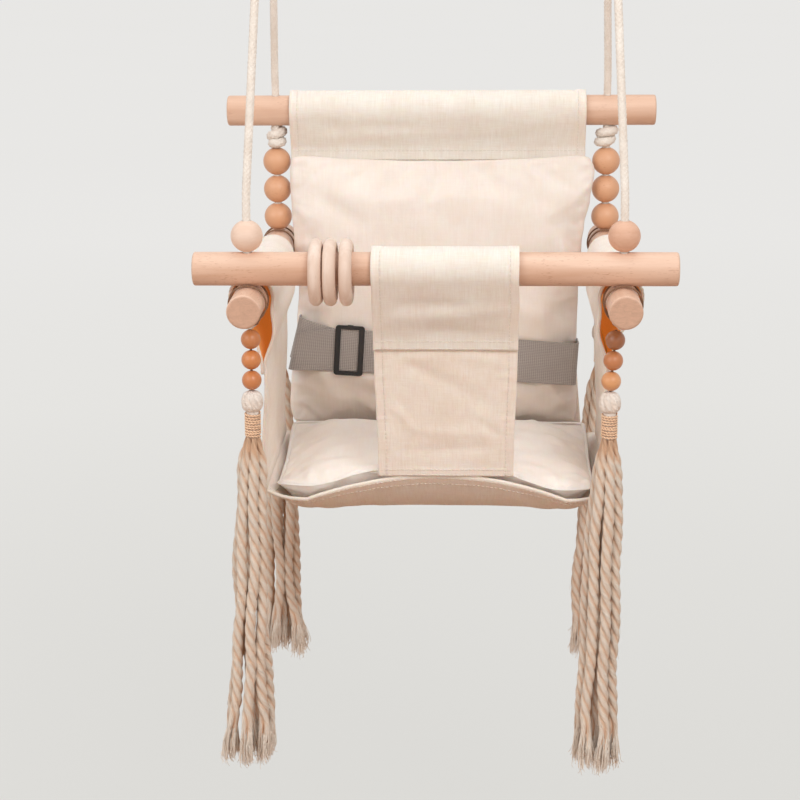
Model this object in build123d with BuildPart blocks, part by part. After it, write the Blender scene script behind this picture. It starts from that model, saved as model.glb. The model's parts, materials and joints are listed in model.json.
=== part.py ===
"""Toddler bucket swing: four dowels, a canvas seat with two pads, beads, tassels and two ropes.

Millimetres. X runs to the right, Y to the back, Z up. The origin lies midway between the two
hanging pivots, where each rope's middle hangs over the wire of its ring.
"""
import os
from math import asin, atan, atan2, cos, degrees, hypot, pi, radians, sin, sqrt, tan

from build123d import *

# ---- dowels -------------------------------------------------------------------------------
bar_dia = 28.0
bar_length = 400.0  # front and rear bar
side_bar_length = 340.0
bar_end_round = 2.0
hole_spacing_x = 310.0  # rope holes, left to right
hole_spacing_y = 260.0  # rope holes, front to back

# ---- suspension ---------------------------------------------------------------------------
pivot_height = 440.0  # the pivots above the front bar's axis
pivot_spacing = 281.0
rope_dia = 7.0
rope_clearance = 0.4  # round the rope in each hole and bore
bend_run = 18.0  # between the two small bends of the rope above a bar or bead
wire_dia = 6.0
ring_inner_dia = 38.0
wire_clearance = 0.6  # between the rope and the ring's wire
stopper_height = 8.0
stopper_dia = 15.4
bar_knot_height = 20.0
bar_knot_dia = 20.0
bar_knot_lobes = 2
knot_waist_depth = 3.5  # between a knot's bulges

# ---- beads and toy rings ------------------------------------------------------------------
front_bead_dia = 26.5
rear_bead_dia = 26.0
rear_bead_count = 3
toy_ring_dia = 56.0
toy_ring_section = 10.8
toy_ring_places = (-98.3, -86.3, -73.0)  # along the front bar
play_gap = 0.3  # between pieces that rest on or run in each other

# ---- tassels ------------------------------------------------------------------------------
small_bead_dia = 16.5
small_bead_pitch = 17.6
small_bead_count = 3
bead_cord_dia = 2.0
bead_cord_clearance = 0.3
bead_string_length = 8.0  # the cord's pivot to the first small bead's middle
head_dia = 18.5
head_height = 17.5
neck_dia = 10.0
twine_dia = 1.8
twine_pitch = 2.3
twine_turns = 9
twine_clearance = 0.15
strand_length = 316.0
strand_top = 16.0
strand_shoulder = 21.0
strand_tip_width = 46.0
strand_tip_depth = 30.0
# Shift of each tassel along X: its cord's start, its head and its tip, from the rope hole.
tassel_shifts = {
    "front_left": (1.0, 1.0, -13.0),
    "front_right": (-5.0, -9.0, -15.0),
    "rear_left": (-1.0, -3.0, -5.0),
    "rear_right": (1.0, -1.0, -6.0),
}

# ---- canvas -------------------------------------------------------------------------------
canvas = 2.4  # double layer with its hems
sleeve_ease = 2.8  # how much larger a sleeve's radius is than the bar's
back_width = 276.0
back_middle = -3.0  # the back cloth and its pad sit a little to the left on the bar
back_waist = 8.0  # drawn in on each side
back_seam_drop = 36.0  # rear bar's axis to the sleeve's seam
crotch_width = 121.5
crotch_middle = 8.5
crotch_seam_drop = 62.0
side_seam_drop = 57.0
side_panel_front = 20.0  # behind the front bar's axis
side_panel_length = 188.0
side_foot_in = 7.0  # the side cloths lean in by this much at the seat
seat_front_y = 31.0  # front hem, from the front bar's axis
seat_edge_drop = 200.0  # side edges of the seat cloth, under the front bar's axis
seat_length = 207.0  # front hem to the foot of the back cloth
seat_dip_x = 112.0  # the cloth hangs lowest this far to each side
seat_hem_middle_drop = 186.0  # front hem at its middle, under the front bar's axis
seat_hem_dip_drop = 208.0  # front hem at its two dips
seat_sag_drop = 241.0  # lowest line of the seat cloth
seat_back_drop = 208.0  # where the seat cloth meets the back cloth
seat_front_run = 95.0  # the cloth falls over this length behind its hem
seat_back_run = 97.0  # and rises over this length to the back cloth
seat_edge_rise = 0.8  # side edges over the dips at the back
seat_strips = 9
least_strip = 4.0  # a pad's end strips are no shorter

# ---- pads ---------------------------------------------------------------------------------
soft_gap = 0.5  # round the pads
pad_thickness = 28.0
pad_crown = 8.0
back_pad_width = 283.0
back_pad_middle = -1.5
back_pad_waist = 10.0  # drawn in on each side at the belt
pad_rounding = 2.5  # a pad is this much narrower at its two ends, on each side
back_pad_top = 60.0  # over the front bar's axis
back_pad_foot = 198.0  # under the front bar's axis
seat_pad_width = 276.0
seat_pad_length = 172.0
seat_pad_front = 8.0  # behind the front hem
seat_pad_thickness = 54.0
seat_pad_over_hem = 10.0  # its thickness over the raised middle of the front hem

# ---- belt and slider ----------------------------------------------------------------------
belt_width = 40.0
belt_thickness = 1.8
belt_drop = 128.0  # middle of the belt under the front bar's axis
belt_slope = 3.5  # degrees, down towards the right
belt_corner = 3.0
belt_ease = 6.0  # the loop is this much wider than the pad and the cloth inside it
slider_corner = 3.0
slider_width = 27.5
slider_height = 47.5
slider_bar = 5.2
slider_plate = 1.6
slider_x = -86.0
slider_clearance = 0.3

# ---- places that follow from the sizes ----------------------------------------------------
bar_radius = bar_dia / 2
side_x = hole_spacing_x / 2
front_y = -hole_spacing_y / 2
rear_y = hole_spacing_y / 2
front_bar_z = -pivot_height
side_bar_z = front_bar_z - bar_dia - play_gap
front_bead_z = front_bar_z + bar_radius + play_gap + front_bead_dia / 2
rear_bead_pitch = rear_bead_dia + play_gap
first_rear_bead_z = side_bar_z + bar_radius + play_gap + rear_bead_dia / 2
bar_knot_z = first_rear_bead_z + (rear_bead_count - 0.5) * rear_bead_pitch + play_gap / 2
rear_bar_z = bar_knot_z + bar_knot_height + play_gap + bar_radius
stopper_z = side_bar_z - bar_radius - play_gap - stopper_height
rope_bore = rope_dia + 2 * rope_clearance
sleeve_radius = bar_radius + sleeve_ease + canvas
sleeve_sink = sleeve_ease - play_gap  # a sleeve hangs on the top of its bar
bight_radius = wire_dia / 2 + wire_clearance + rope_dia / 2
seat_hem_y = front_y + seat_front_y
back_foot_y = seat_hem_y + seat_length - rear_y
back_foot_z = front_bar_z - seat_back_drop + 2 * play_gap
back_lean = atan2(-back_foot_y, rear_bar_z - back_foot_z)
corners = {
    "front_left": (-side_x, front_y),
    "front_right": (side_x, front_y),
    "rear_left": (-side_x, rear_y),
    "rear_right": (side_x, rear_y),
}
sides = {"left": -1, "right": 1}

os.makedirs("parts", exist_ok=True)


def save(part, label):
    """Name a finished piece and write it."""
    part.label = label
    export_step(part, f"parts/{label}.step")


# ---- wood ---------------------------------------------------------------------------------
def make_bar(label, length, axis, middle, hole_offset):
    """A dowel along the given axis with one rope hole near each end."""
    along = Plane(origin=middle, z_dir=axis)
    with BuildPart() as bar:
        with BuildSketch(along.offset(-length / 2)):
            Circle(bar_radius)
        extrude(amount=length)
        fillet(bar.edges().filter_by(GeomType.CIRCLE), bar_end_round)
        with Locations(*[Vector(*middle) + Vector(*axis) * (s * hole_offset) for s in (-1, 1)]):
            Cylinder(rope_bore / 2, bar_dia + 2, mode=Mode.SUBTRACT)
    save(bar.part, label)


def make_bead(label, dia, bore, middle):
    """A round bead with a bore along Z."""
    with BuildPart() as bead:
        with Locations(middle):
            Sphere(dia / 2)
            Cylinder(bore / 2, dia, mode=Mode.SUBTRACT)
    save(bead.part, label)


def make_toy_ring(label, x):
    """A turned wooden ring that hangs on the front bar."""
    hang = (toy_ring_dia / 2 - toy_ring_section) - bar_radius - play_gap
    with BuildPart() as ring:
        with BuildSketch(Plane.XZ.offset(-front_y)):
            with Locations((x, front_bar_z - hang + toy_ring_dia / 2 - toy_ring_section / 2)):
                Circle(toy_ring_section / 2)
        revolve(axis=Axis((0, front_y, front_bar_z - hang), (1, 0, 0)))
    save(ring.part, label)


make_bar("front_bar", bar_length, (1, 0, 0), (0, front_y, front_bar_z), side_x)
make_bar("rear_bar", bar_length, (1, 0, 0), (0, rear_y, rear_bar_z), side_x)
for side, sign in sides.items():
    middle = (sign * side_x, 0, side_bar_z)
    make_bar(f"side_bar_{side}", side_bar_length, (0, 1, 0), middle, rear_y)
    make_bead(f"front_bead_{side}", front_bead_dia, rope_bore, (sign * side_x, front_y, front_bead_z))
    for number in range(rear_bead_count):
        z = first_rear_bead_z + number * rear_bead_pitch
        make_bead(
            f"rear_bead_{side}_{number + 1}", rear_bead_dia, rope_bore, (sign * side_x, rear_y, z)
        )
for number, x in enumerate(toy_ring_places):
    make_toy_ring(f"toy_ring_{number + 1}", x)


# ---- ropes, rings and knots ---------------------------------------------------------------
def leg_points(x, pivot_x, y, z_bend):
    """Route of one rope leg: two small bends over the bead or bar, then the corner at the ring."""
    toward = 1 if y < 0 else -1
    straight = atan2(abs(y), -z_bend) - asin(bight_radius / hypot(y, z_bend))
    first = (x, y, z_bend)
    second_y = y + toward * bend_run * sin(straight / 2)
    second_z = z_bend + bend_run * cos(straight / 2)
    lean = atan2(abs(second_y), -second_z) - asin(bight_radius / hypot(second_y, second_z))
    corner_y = second_y + toward * (bight_radius - second_z) * tan(lean)
    return [first, (x, second_y, second_z), (pivot_x, corner_y, bight_radius)]


def make_rope(side, sign):
    """One rope: front knot, front bar, over the ring's wire, rear bar, rear knot."""
    x = sign * side_x
    pivot_x = sign * pivot_spacing / 2
    front = leg_points(x, pivot_x, front_y, front_bead_z + front_bead_dia / 2 + rope_dia / 2)
    rear = leg_points(x, pivot_x, rear_y, rear_bar_z + bar_radius + rope_dia / 2)
    route = [(x, front_y, stopper_z)] + front + rear[::-1] + [(x, rear_y, stopper_z)]
    points = [Vector(*p) for p in route]
    radii = []
    for before, here, after in zip(points, points[1:], points[2:]):
        turn = radians((here - before).get_angle(after - here))
        shorter = min((here - before).length, (after - here).length)
        at_ring = here.Z > 0
        radii.append(0.97 * bight_radius if at_ring else 0.45 * shorter / tan(turn / 2))
    with BuildPart() as rope:
        with BuildLine() as path:
            FilletPolyline(*points, radius=radii)
        with BuildSketch(Plane(origin=path.line @ 0, z_dir=path.line % 0)):
            Circle(rope_dia / 2)
        sweep(path=path.line)
    length = path.wire().length
    share = rope.part.volume / (length * pi * rope_dia**2 / 4)
    print(f"rope_{side} length {length:.1f} radii {[round(r, 1) for r in radii]} volume {share:.4f}")
    save(rope.part, f"rope_{side}")


def make_hanging_ring(side, sign):
    """A steel ring whose lowest wire is the pivot of its rope."""
    ring_radius = (ring_inner_dia + wire_dia) / 2
    with BuildPart() as ring:
        with BuildSketch(Plane.XY):
            with Locations((sign * pivot_spacing / 2 + ring_radius, 0)):
                Circle(wire_dia / 2)
        revolve(axis=Axis((sign * pivot_spacing / 2, 0, 0), (0, 1, 0)))
    save(ring.part.moved(Location((0, 0, ring_radius))), f"hanging_ring_{side}")


def make_lump(label, dia, height, bore, foot, lobes=1):
    """A pulled-tight knot or tassel head: a turned lump round its cord, in one or more bulges."""
    bulge = height / lobes
    waist = bore / 2 if lobes == 1 else dia / 2 - knot_waist_depth
    with BuildPart() as lump:
        with BuildSketch(Plane(origin=foot, x_dir=(1, 0, 0), z_dir=(0, -1, 0))):
            with BuildLine() as outline:
                for number in range(lobes):
                    low = number * bulge
                    ThreePointArc((waist, low), (dia / 2, low + bulge / 2), (waist, low + bulge))
                Line((bore / 2, height), (bore / 2, 0))
                if lobes > 1:
                    Line((waist, 0), (bore / 2, 0))
                    Line((waist, height), (bore / 2, height))
            make_face(outline.edges())
        revolve(axis=Axis(foot, (0, 0, 1)))
    save(lump.part, label)


for side, sign in sides.items():
    make_rope(side, sign)
    make_hanging_ring(side, sign)
    make_lump(f"bar_knot_{side}", bar_knot_dia, bar_knot_height, rope_bore,
              (sign * side_x, rear_y, bar_knot_z), bar_knot_lobes)
for corner, (x, y) in corners.items():
    make_lump(f"stopper_knot_{corner}", stopper_dia, stopper_height, rope_bore, (x, y, stopper_z))


# ---- tassels ------------------------------------------------------------------------------
def make_small_beads(corner, cord_plane):
    """The string of small beads, one solid each."""
    with BuildPart() as beads:
        for number in range(small_bead_count):
            drop = bead_string_length + number * small_bead_pitch
            with Locations(cord_plane.offset(-drop).location):
                Sphere(small_bead_dia / 2)
                Cylinder(bead_cord_dia / 2 + bead_cord_clearance, small_bead_dia, mode=Mode.SUBTRACT)
    save(beads.part, f"small_beads_{corner}")


def helix_arcs(radius, pitch, turns, foot):
    """A helix as tangent arcs, two to each quarter turn."""
    steps = 4 * turns
    climb = pitch / (2 * pi)
    scale = hypot(radius, climb)
    spots = []
    for step in range(steps + 1):
        angle = step * pi / 2
        spot = Vector(*foot) + Vector(radius * cos(angle), radius * sin(angle), climb * angle)
        heading = Vector(-radius * sin(angle), radius * cos(angle), climb) / scale
        spots.append((spot, heading))
    for (start, out), (end, into) in zip(spots, spots[1:]):
        chord = end - start
        both = chord.dot(out + into)
        spread = 2 * (1 - out.dot(into))
        reach = (sqrt(both**2 + spread * chord.dot(chord)) - both) / spread
        knee_before = start + out * reach
        knee_after = end - into * reach
        knee = (knee_before + knee_after) / 2
        TangentArc(start, knee, tangent=out)
        TangentArc(knee, end, tangent=(knee_after - knee_before).normalized())


def make_twine(corner, foot):
    """The tassel's binding: one twine wound round the neck."""
    radius = neck_dia / 2 + twine_clearance + twine_dia / 2
    with BuildPart() as twine:
        with BuildLine() as path:
            helix_arcs(radius, twine_pitch, twine_turns, foot)
        with BuildSketch(Plane(origin=path.line @ 0, z_dir=path.line % 0)):
            Circle(twine_dia / 2)
        sweep(path=path.line)
    gap = twine_pitch * radius / hypot(radius, twine_pitch / (2 * pi)) - twine_dia
    print(f"twine_wrap_{corner} least gap to itself {gap:.2f}")
    save(twine.part, f"twine_wrap_{corner}")


def make_strands(corner, top, tip_shift):
    """The hanging strands as one bundle under the bound neck."""
    wrap_height = twine_turns * twine_pitch + twine_dia
    x, y, z = top
    foot = z - wrap_height - strand_length
    stations = (
        (z - wrap_height - play_gap, strand_top, strand_top, 0.0),
        (z - wrap_height - strand_shoulder, strand_shoulder, strand_shoulder, 0.1),
        ((z - wrap_height + foot) / 2, 0.75 * strand_tip_width, strand_tip_depth, 0.4),
        (foot, strand_tip_width, strand_tip_depth, 1.0),
    )
    with BuildPart() as strands:
        for height, width, depth, share in stations:
            place = (x + share * tip_shift, y, height)
            with BuildSketch(Plane(origin=place, z_dir=(0, 0, 1))):
                RectangleRounded(width, depth, 0.45 * min(width, depth))
        loft()
        with BuildSketch(Plane(origin=(x, y, z - wrap_height - play_gap), z_dir=(0, 0, 1))):
            Circle(neck_dia / 2)
        extrude(amount=wrap_height)
    save(strands.part, f"strands_{corner}")


def make_tassel(corner, hole_x, y):
    """A tassel on its cord under one stopper knot."""
    start_shift, head_shift, tip_shift = tassel_shifts[corner]
    drop = bead_string_length + (small_bead_count - 0.5) * small_bead_pitch
    start = Vector(hole_x + start_shift, y, stopper_z - play_gap - bead_cord_dia / 2)
    head_top = Vector(hole_x + head_shift, y, start.Z - drop)
    up = (start - head_top).normalized()
    cord_plane = Plane(origin=start, x_dir=(0, 1, 0), z_dir=up)
    make_small_beads(corner, cord_plane)
    with BuildPart() as cord:
        with BuildSketch(cord_plane):
            Circle(bead_cord_dia / 2)
        extrude(amount=-(start - head_top).length)
        with Locations(start):
            Sphere(bead_cord_dia / 2)
    save(cord.part, f"bead_cord_{corner}")
    head_foot = (head_top.X, y, head_top.Z - play_gap - head_height)
    make_lump(f"tassel_head_{corner}", head_dia, head_height, bead_cord_dia, head_foot)
    make_twine(corner, (head_top.X, y, head_foot[2] - twine_dia / 2 - twine_turns * twine_pitch
                        - play_gap))
    make_strands(corner, (head_top.X, y, head_foot[2] - play_gap), tip_shift - head_shift)


for corner, (x, y) in corners.items():
    make_tassel(corner, x, y)


# ---- canvas -------------------------------------------------------------------------------
def teardrop(radius, drop, mode=Mode.ADD):
    """A loop of cloth that hangs on a bar and closes at a seam, seen along the bar."""
    lean = asin(radius / drop)
    flank_x = radius * cos(lean)
    flank_y = -radius * sin(lean)
    with BuildLine() as loop:
        ThreePointArc((-flank_x, flank_y), (0, radius), (flank_x, flank_y))
        Line((flank_x, flank_y), (0, -drop))
        Line((0, -drop), (-flank_x, flank_y))
    make_face(loop.edges(), mode=mode)


def sleeve_profile(seam_drop, foot_drop):
    """Section of a cloth with a sleeve at its top, drawn round the sleeve's own middle."""
    inner = sleeve_radius - canvas
    teardrop(sleeve_radius, seam_drop)
    join = seam_drop - canvas / 2 / tan(asin(sleeve_radius / seam_drop))
    with Locations((0, -(join + foot_drop) / 2)):
        Rectangle(canvas, foot_drop - join)
    teardrop(inner, seam_drop * inner / sleeve_radius, mode=Mode.SUBTRACT)


def hanging_plane(x, y, z, lean, axis):
    """The plane square to a bar; its own -Y runs down the cloth, leaning by an angle."""
    if axis == "X":
        return Plane(origin=(x, y, z - sleeve_sink), x_dir=(0, cos(lean), sin(lean)), z_dir=(1, 0, 0))
    return Plane(origin=(x, y, z - sleeve_sink), x_dir=(cos(lean), 0, sin(lean)), z_dir=(0, -1, 0))


def make_canvas_back():
    """The back cloth: a sleeve on the rear bar and a panel down to the seat, drawn in at its sides."""
    half = back_width / 2
    foot_z = back_foot_z
    foot_drop = (rear_bar_z - sleeve_sink - foot_z) / cos(back_lean)
    plane = hanging_plane(back_middle - half, rear_y, rear_bar_z, -back_lean, "X")
    with BuildPart() as back:
        with BuildSketch(plane):
            sleeve_profile(back_seam_drop, foot_drop)
        extrude(amount=back_width)
        top = rear_bar_z + 2 * sleeve_radius
        seam = rear_bar_z - back_seam_drop
        waist = (seam + foot_z) / 2
        with BuildSketch(Plane.XZ.offset(-rear_y - 2 * sleeve_radius)):
            with BuildLine():
                Line((back_middle - half, top), (back_middle - half, seam))
                ThreePointArc((back_middle - half, seam), (back_middle - half + back_waist, waist),
                              (back_middle - half, foot_z - canvas))
                Line((back_middle - half, foot_z - canvas), (back_middle + half, foot_z - canvas))
                ThreePointArc((back_middle + half, foot_z - canvas),
                              (back_middle + half - back_waist, waist), (back_middle + half, seam))
                Line((back_middle + half, seam), (back_middle + half, top))
                Line((back_middle + half, top), (back_middle - half, top))
            make_face()
        extrude(amount=4 * sleeve_radius - back_foot_y, mode=Mode.INTERSECT)
    save(back.part, "canvas_back")


def make_crotch_panel():
    """The front cloth between the child's legs, from the front bar down to the seat's front hem."""
    rise = seat_hem_middle_drop + canvas - sleeve_sink
    lean = atan((seat_front_y - canvas / 2 - play_gap) / rise)
    plane = hanging_plane(crotch_middle - crotch_width / 2, front_y, front_bar_z, lean, "X")
    with BuildPart() as panel:
        with BuildSketch(plane):
            sleeve_profile(crotch_seam_drop, rise / cos(lean))
        extrude(amount=crotch_width)
    save(panel.part, "crotch_panel")


def make_side_canvas(side, sign):
    """One side cloth: a sleeve on the side bar and a panel down to the seat's side edge."""
    foot_z = front_bar_z - seat_edge_drop + play_gap
    rise = side_bar_z - sleeve_sink - foot_z
    lean = atan(side_foot_in / rise)
    start_y = front_y + side_panel_front
    plane = hanging_plane(sign * side_x, start_y + side_panel_length, side_bar_z, -sign * lean, "Y")
    with BuildPart() as panel:
        with BuildSketch(plane):
            sleeve_profile(side_seam_drop, rise / cos(lean) - play_gap)
        extrude(amount=side_panel_length)
    save(panel.part, f"canvas_side_{side}")


def seat_drops(behind):
    """How far the seat cloth's top lies under the front bar, at its dips, middle and side edges."""
    strip = seat_length / seat_strips
    lower = min(int(behind / strip), seat_strips - 1) * strip
    drops = []
    for station in (lower, lower + strip):
        front = max(0.0, 1 - station / seat_front_run) ** 2.5
        back = max(0.0, 1 - (seat_length - station) / seat_back_run) ** 2.5
        dip = seat_sag_drop - (seat_sag_drop - seat_hem_dip_drop) * front
        middle = seat_sag_drop - (seat_sag_drop - seat_hem_middle_drop) * front
        rise = (seat_sag_drop - seat_back_drop) * back
        edge = seat_edge_drop + (seat_back_drop - seat_edge_rise - seat_edge_drop) * back
        drops.append(Vector(dip - rise, middle - rise, edge))
    return drops[0] + (drops[1] - drops[0]) * ((behind - lower) / strip)


def seat_arc(dip_z, middle_z):
    """The cloth's line from dip to dip: an arch at the front hem, nearly flat behind it."""
    if abs(middle_z - dip_z) < 0.05:
        middle_z = dip_z - 0.05
    ThreePointArc((-seat_dip_x, dip_z), (0, middle_z), (seat_dip_x, dip_z))


def seat_section(dip_z, middle_z, edge_z, half_width):
    """One strip of the seat cloth across the swing, drawn in an XZ plane."""
    bulge_x = (seat_dip_x + half_width) / 2 + 0.12 * (half_width - seat_dip_x)
    bulge_z = dip_z + 0.32 * (edge_z - dip_z)
    with BuildLine() as strip:
        for lift in (-canvas, 0):
            ThreePointArc((-half_width, edge_z + lift), (-bulge_x, bulge_z + lift),
                          (-seat_dip_x, dip_z + lift))
            seat_arc(dip_z + lift, middle_z + lift)
            ThreePointArc((seat_dip_x, dip_z + lift), (bulge_x, bulge_z + lift),
                          (half_width, edge_z + lift))
        for sign in sides.values():
            Line((sign * half_width, edge_z - canvas), (sign * half_width, edge_z))
    make_face(strip.edges())


def make_canvas_seat():
    """The seat cloth: a hammock that rises to its front hem, its back and its two side edges."""
    half_width = side_x - side_foot_in + canvas / 2
    with BuildPart() as seat:
        for strip in range(seat_strips + 1):
            behind = strip * seat_length / seat_strips
            drops = seat_drops(behind)
            with BuildSketch(Plane.XZ.offset(-seat_hem_y - behind)):
                seat_section(front_bar_z - drops.X, front_bar_z - drops.Y, front_bar_z - drops.Z,
                             half_width)
        loft(ruled=True)
    save(seat.part, "canvas_seat")


make_canvas_back()
make_crotch_panel()
for side, sign in sides.items():
    make_side_canvas(side, sign)
make_canvas_seat()


# ---- pads ---------------------------------------------------------------------------------
def cushion_section(half_width, thickness, crown):
    """A cushion's section: flat behind, rounded sides, crowned in front (local +Y)."""
    flank = 0.42 * thickness
    with BuildLine() as outline:
        ThreePointArc((-half_width + flank, 0), (-half_width, flank),
                      (-half_width + 0.5 * flank, thickness - crown))
        ThreePointArc((-half_width + 0.5 * flank, thickness - crown), (0, thickness),
                      (half_width - 0.5 * flank, thickness - crown))
        ThreePointArc((half_width - 0.5 * flank, thickness - crown), (half_width, flank),
                      (half_width - flank, 0))
        Line((half_width - flank, 0), (-half_width + flank, 0))
    make_face(outline.edges())


def back_plane(z):
    """A plane across the back pad at a height, its +Y pointing forward off the back cloth."""
    behind = rear_y - (rear_bar_z - z) * tan(back_lean) - canvas / 2 / cos(back_lean) - soft_gap
    return Plane(origin=(back_pad_middle, behind, z), x_dir=(-1, 0, 0), z_dir=(0, 0, 1))


def make_back_pad():
    """The back cushion, crowned, drawn in at the belt, thinner at its top edge."""
    half = back_pad_width / 2
    top = front_bar_z + back_pad_top
    foot = front_bar_z - back_pad_foot
    belt_z = front_bar_z - belt_drop
    steps = 8
    with BuildPart() as pad:
        for step in range(steps + 1):
            share = step / steps
            z = foot + share * (top - foot)
            end = (2 * share - 1) ** 6
            waist = back_pad_waist * cos(pi * (z - belt_z) / (2 * (top - foot))) ** 2
            with BuildSketch(back_plane(z)):
                cushion_section(half - waist - pad_rounding * end, (1 - 0.55 * end) * pad_thickness,
                                (1 - 0.55 * end) * pad_crown)
        loft()
    save(pad.part, "back_pad")


def seat_pad_section(behind, half_width, thickness):
    """One section of the seat cushion: its underside follows the seat cloth."""
    drops = seat_drops(behind)
    dip_z = front_bar_z - drops.X + soft_gap
    middle_z = front_bar_z - drops.Y + soft_gap
    top_z = max(dip_z + thickness, middle_z + seat_pad_over_hem)
    side_z = dip_z + 0.62 * thickness
    flank_x = 0.5 * (half_width + seat_dip_x)
    flank_z = dip_z + 0.24 * thickness
    with BuildLine() as outline:
        ThreePointArc((-half_width, side_z), (-flank_x, flank_z), (-seat_dip_x, dip_z))
        seat_arc(dip_z, middle_z)
        ThreePointArc((seat_dip_x, dip_z), (flank_x, flank_z), (half_width, side_z))
        ThreePointArc((half_width, side_z), (0, top_z), (-half_width, side_z))
    make_face(outline.edges())


def make_seat_pad():
    """The seat cushion, lying in the hammock of the seat cloth."""
    strip = seat_length / seat_strips
    foot = seat_pad_front + seat_pad_length
    first = seat_pad_front + least_strip
    between = [n * strip for n in range(seat_strips) if first < n * strip < foot - least_strip]
    with BuildPart() as pad:
        for behind in [seat_pad_front, *between, foot]:
            end = (2 * (behind - seat_pad_front) / seat_pad_length - 1) ** 6
            with BuildSketch(Plane.XZ.offset(-seat_hem_y - behind)):
                seat_pad_section(behind, seat_pad_width / 2 - pad_rounding * end,
                                 (1 - 0.5 * end) * seat_pad_thickness)
        loft(ruled=True)
    save(pad.part, "seat_pad")


make_back_pad()
make_seat_pad()


# ---- belt and slider ----------------------------------------------------------------------
def belt_plane():
    """Plane across the belt at its middle height; +Y points back, Z runs up the leaning back."""
    z = front_bar_z - belt_drop
    cloth_y = rear_y - (rear_bar_z - z) * tan(back_lean)
    slope = radians(belt_slope)
    along = Vector(cos(slope), 0, -sin(slope))
    up = Vector(sin(slope), -sin(-back_lean), cos(slope)).normalized()
    return Plane(origin=(back_middle, cloth_y, z), x_dir=along, z_dir=up)


def make_belt():
    """The waist belt: one loop round the back cushion and the back cloth."""
    pad_width = back_pad_width - 2 * back_pad_waist + 2 * abs(back_pad_middle - back_middle)
    inner_width = max(pad_width, back_width - 2 * back_waist) + belt_ease
    front = -canvas / 2 - pad_thickness - 2 * soft_gap - 0.4
    back = canvas / 2 + soft_gap + 0.4
    depth = back - front
    with BuildPart() as belt:
        with BuildSketch(belt_plane().offset(-belt_width / 2)):
            with Locations((0, (front + back) / 2)):
                RectangleRounded(inner_width + 2 * belt_thickness, depth + 2 * belt_thickness,
                                 belt_corner + belt_thickness)
                RectangleRounded(inner_width, depth, belt_corner, mode=Mode.SUBTRACT)
        extrude(amount=belt_width)
    save(belt.part, "belt")
    return front - belt_thickness / 2


def make_slider(belt_y):
    """The slider: a frame in front of the belt and a middle bar behind it, joined by two rails."""
    across = belt_plane()
    to_slider = (slider_x - across.origin.X) / across.x_dir.X
    origin = across.from_local_coords((to_slider, belt_y, 0))
    face = Plane(origin=origin, x_dir=across.x_dir, z_dir=across.y_dir)
    gap = belt_thickness / 2 + slider_clearance
    rail = (slider_height - belt_width) / 2 - slider_clearance
    with BuildPart() as slider:
        with BuildSketch(face.offset(-gap - slider_plate)):
            RectangleRounded(slider_width, slider_height, slider_corner)
            Rectangle(slider_width - 2 * slider_bar, slider_height - 2 * rail, mode=Mode.SUBTRACT)
        extrude(amount=slider_plate)
        with BuildSketch(face.offset(-gap)):
            for sign in (-1, 1):
                with Locations((0, sign * (slider_height - rail) / 2)):
                    Rectangle(slider_bar, rail)
        extrude(amount=2 * gap)
        with BuildSketch(face.offset(gap)):
            Rectangle(slider_bar, slider_height)
        extrude(amount=slider_plate)
    save(slider.part, "slider_buckle")


make_slider(make_belt())
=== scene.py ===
"""Toddler bucket swing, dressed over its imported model.

Metres, in the model's own frame: X right, Y back, Z up, the origin midway between the two pivots.
"""

import json
from math import asin, atan2, copysign, cos, exp, floor, hypot, pi, radians, sin, sqrt, tan

import bpy
from mathutils import Matrix, Vector, noise

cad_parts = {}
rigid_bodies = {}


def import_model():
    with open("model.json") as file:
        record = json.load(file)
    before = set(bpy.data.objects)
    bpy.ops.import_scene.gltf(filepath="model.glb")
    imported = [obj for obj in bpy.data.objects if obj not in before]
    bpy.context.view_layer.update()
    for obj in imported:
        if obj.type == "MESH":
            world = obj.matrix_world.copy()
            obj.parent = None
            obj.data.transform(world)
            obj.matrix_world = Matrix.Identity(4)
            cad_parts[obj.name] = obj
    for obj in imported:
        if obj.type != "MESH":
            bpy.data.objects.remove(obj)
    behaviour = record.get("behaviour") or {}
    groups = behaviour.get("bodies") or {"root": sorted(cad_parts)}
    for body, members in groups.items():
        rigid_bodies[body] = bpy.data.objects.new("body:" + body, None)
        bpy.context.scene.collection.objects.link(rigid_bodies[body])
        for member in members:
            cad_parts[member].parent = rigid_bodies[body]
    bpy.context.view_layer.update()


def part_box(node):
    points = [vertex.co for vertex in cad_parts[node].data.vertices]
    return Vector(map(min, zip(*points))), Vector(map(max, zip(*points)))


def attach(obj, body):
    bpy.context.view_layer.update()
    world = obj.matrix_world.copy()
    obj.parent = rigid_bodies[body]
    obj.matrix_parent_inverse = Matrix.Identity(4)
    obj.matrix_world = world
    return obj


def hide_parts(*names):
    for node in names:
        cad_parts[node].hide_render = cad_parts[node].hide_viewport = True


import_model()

MM = 0.001
SIDES = {"left": -1, "right": 1}


# ---- places read from the model -----------------------------------------------------------
def middle(node):
    """Middle of a CAD node's box."""
    low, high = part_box(node)
    return (Vector(low) + Vector(high)) / 2


def size(node):
    """Size of a CAD node's box."""
    low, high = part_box(node)
    return Vector(high) - Vector(low)


FRONT_BAR = middle("front_bar")
REAR_BAR = middle("rear_bar")
SIDE_BAR = {side: middle(f"side_bar_{side}") for side in SIDES}
BAR_RADIUS = size("front_bar").z / 2
SIDE_X = SIDE_BAR["right"].x
FRONT_Y = FRONT_BAR.y
REAR_Y = REAR_BAR.y
ROPE_DIA = 7.0 * MM


# ---- helpers for meshes -------------------------------------------------------------------
def smoothstep(low, high, value):
    """0 under low, 1 over high, smooth between them."""
    share = min(1.0, max(0.0, (value - low) / (high - low)))
    return share * share * (3 - 2 * share)


def bump(value, centre, width):
    """A smooth hill of height 1 about a centre."""
    return exp(-((value - centre) / width) ** 2)


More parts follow.
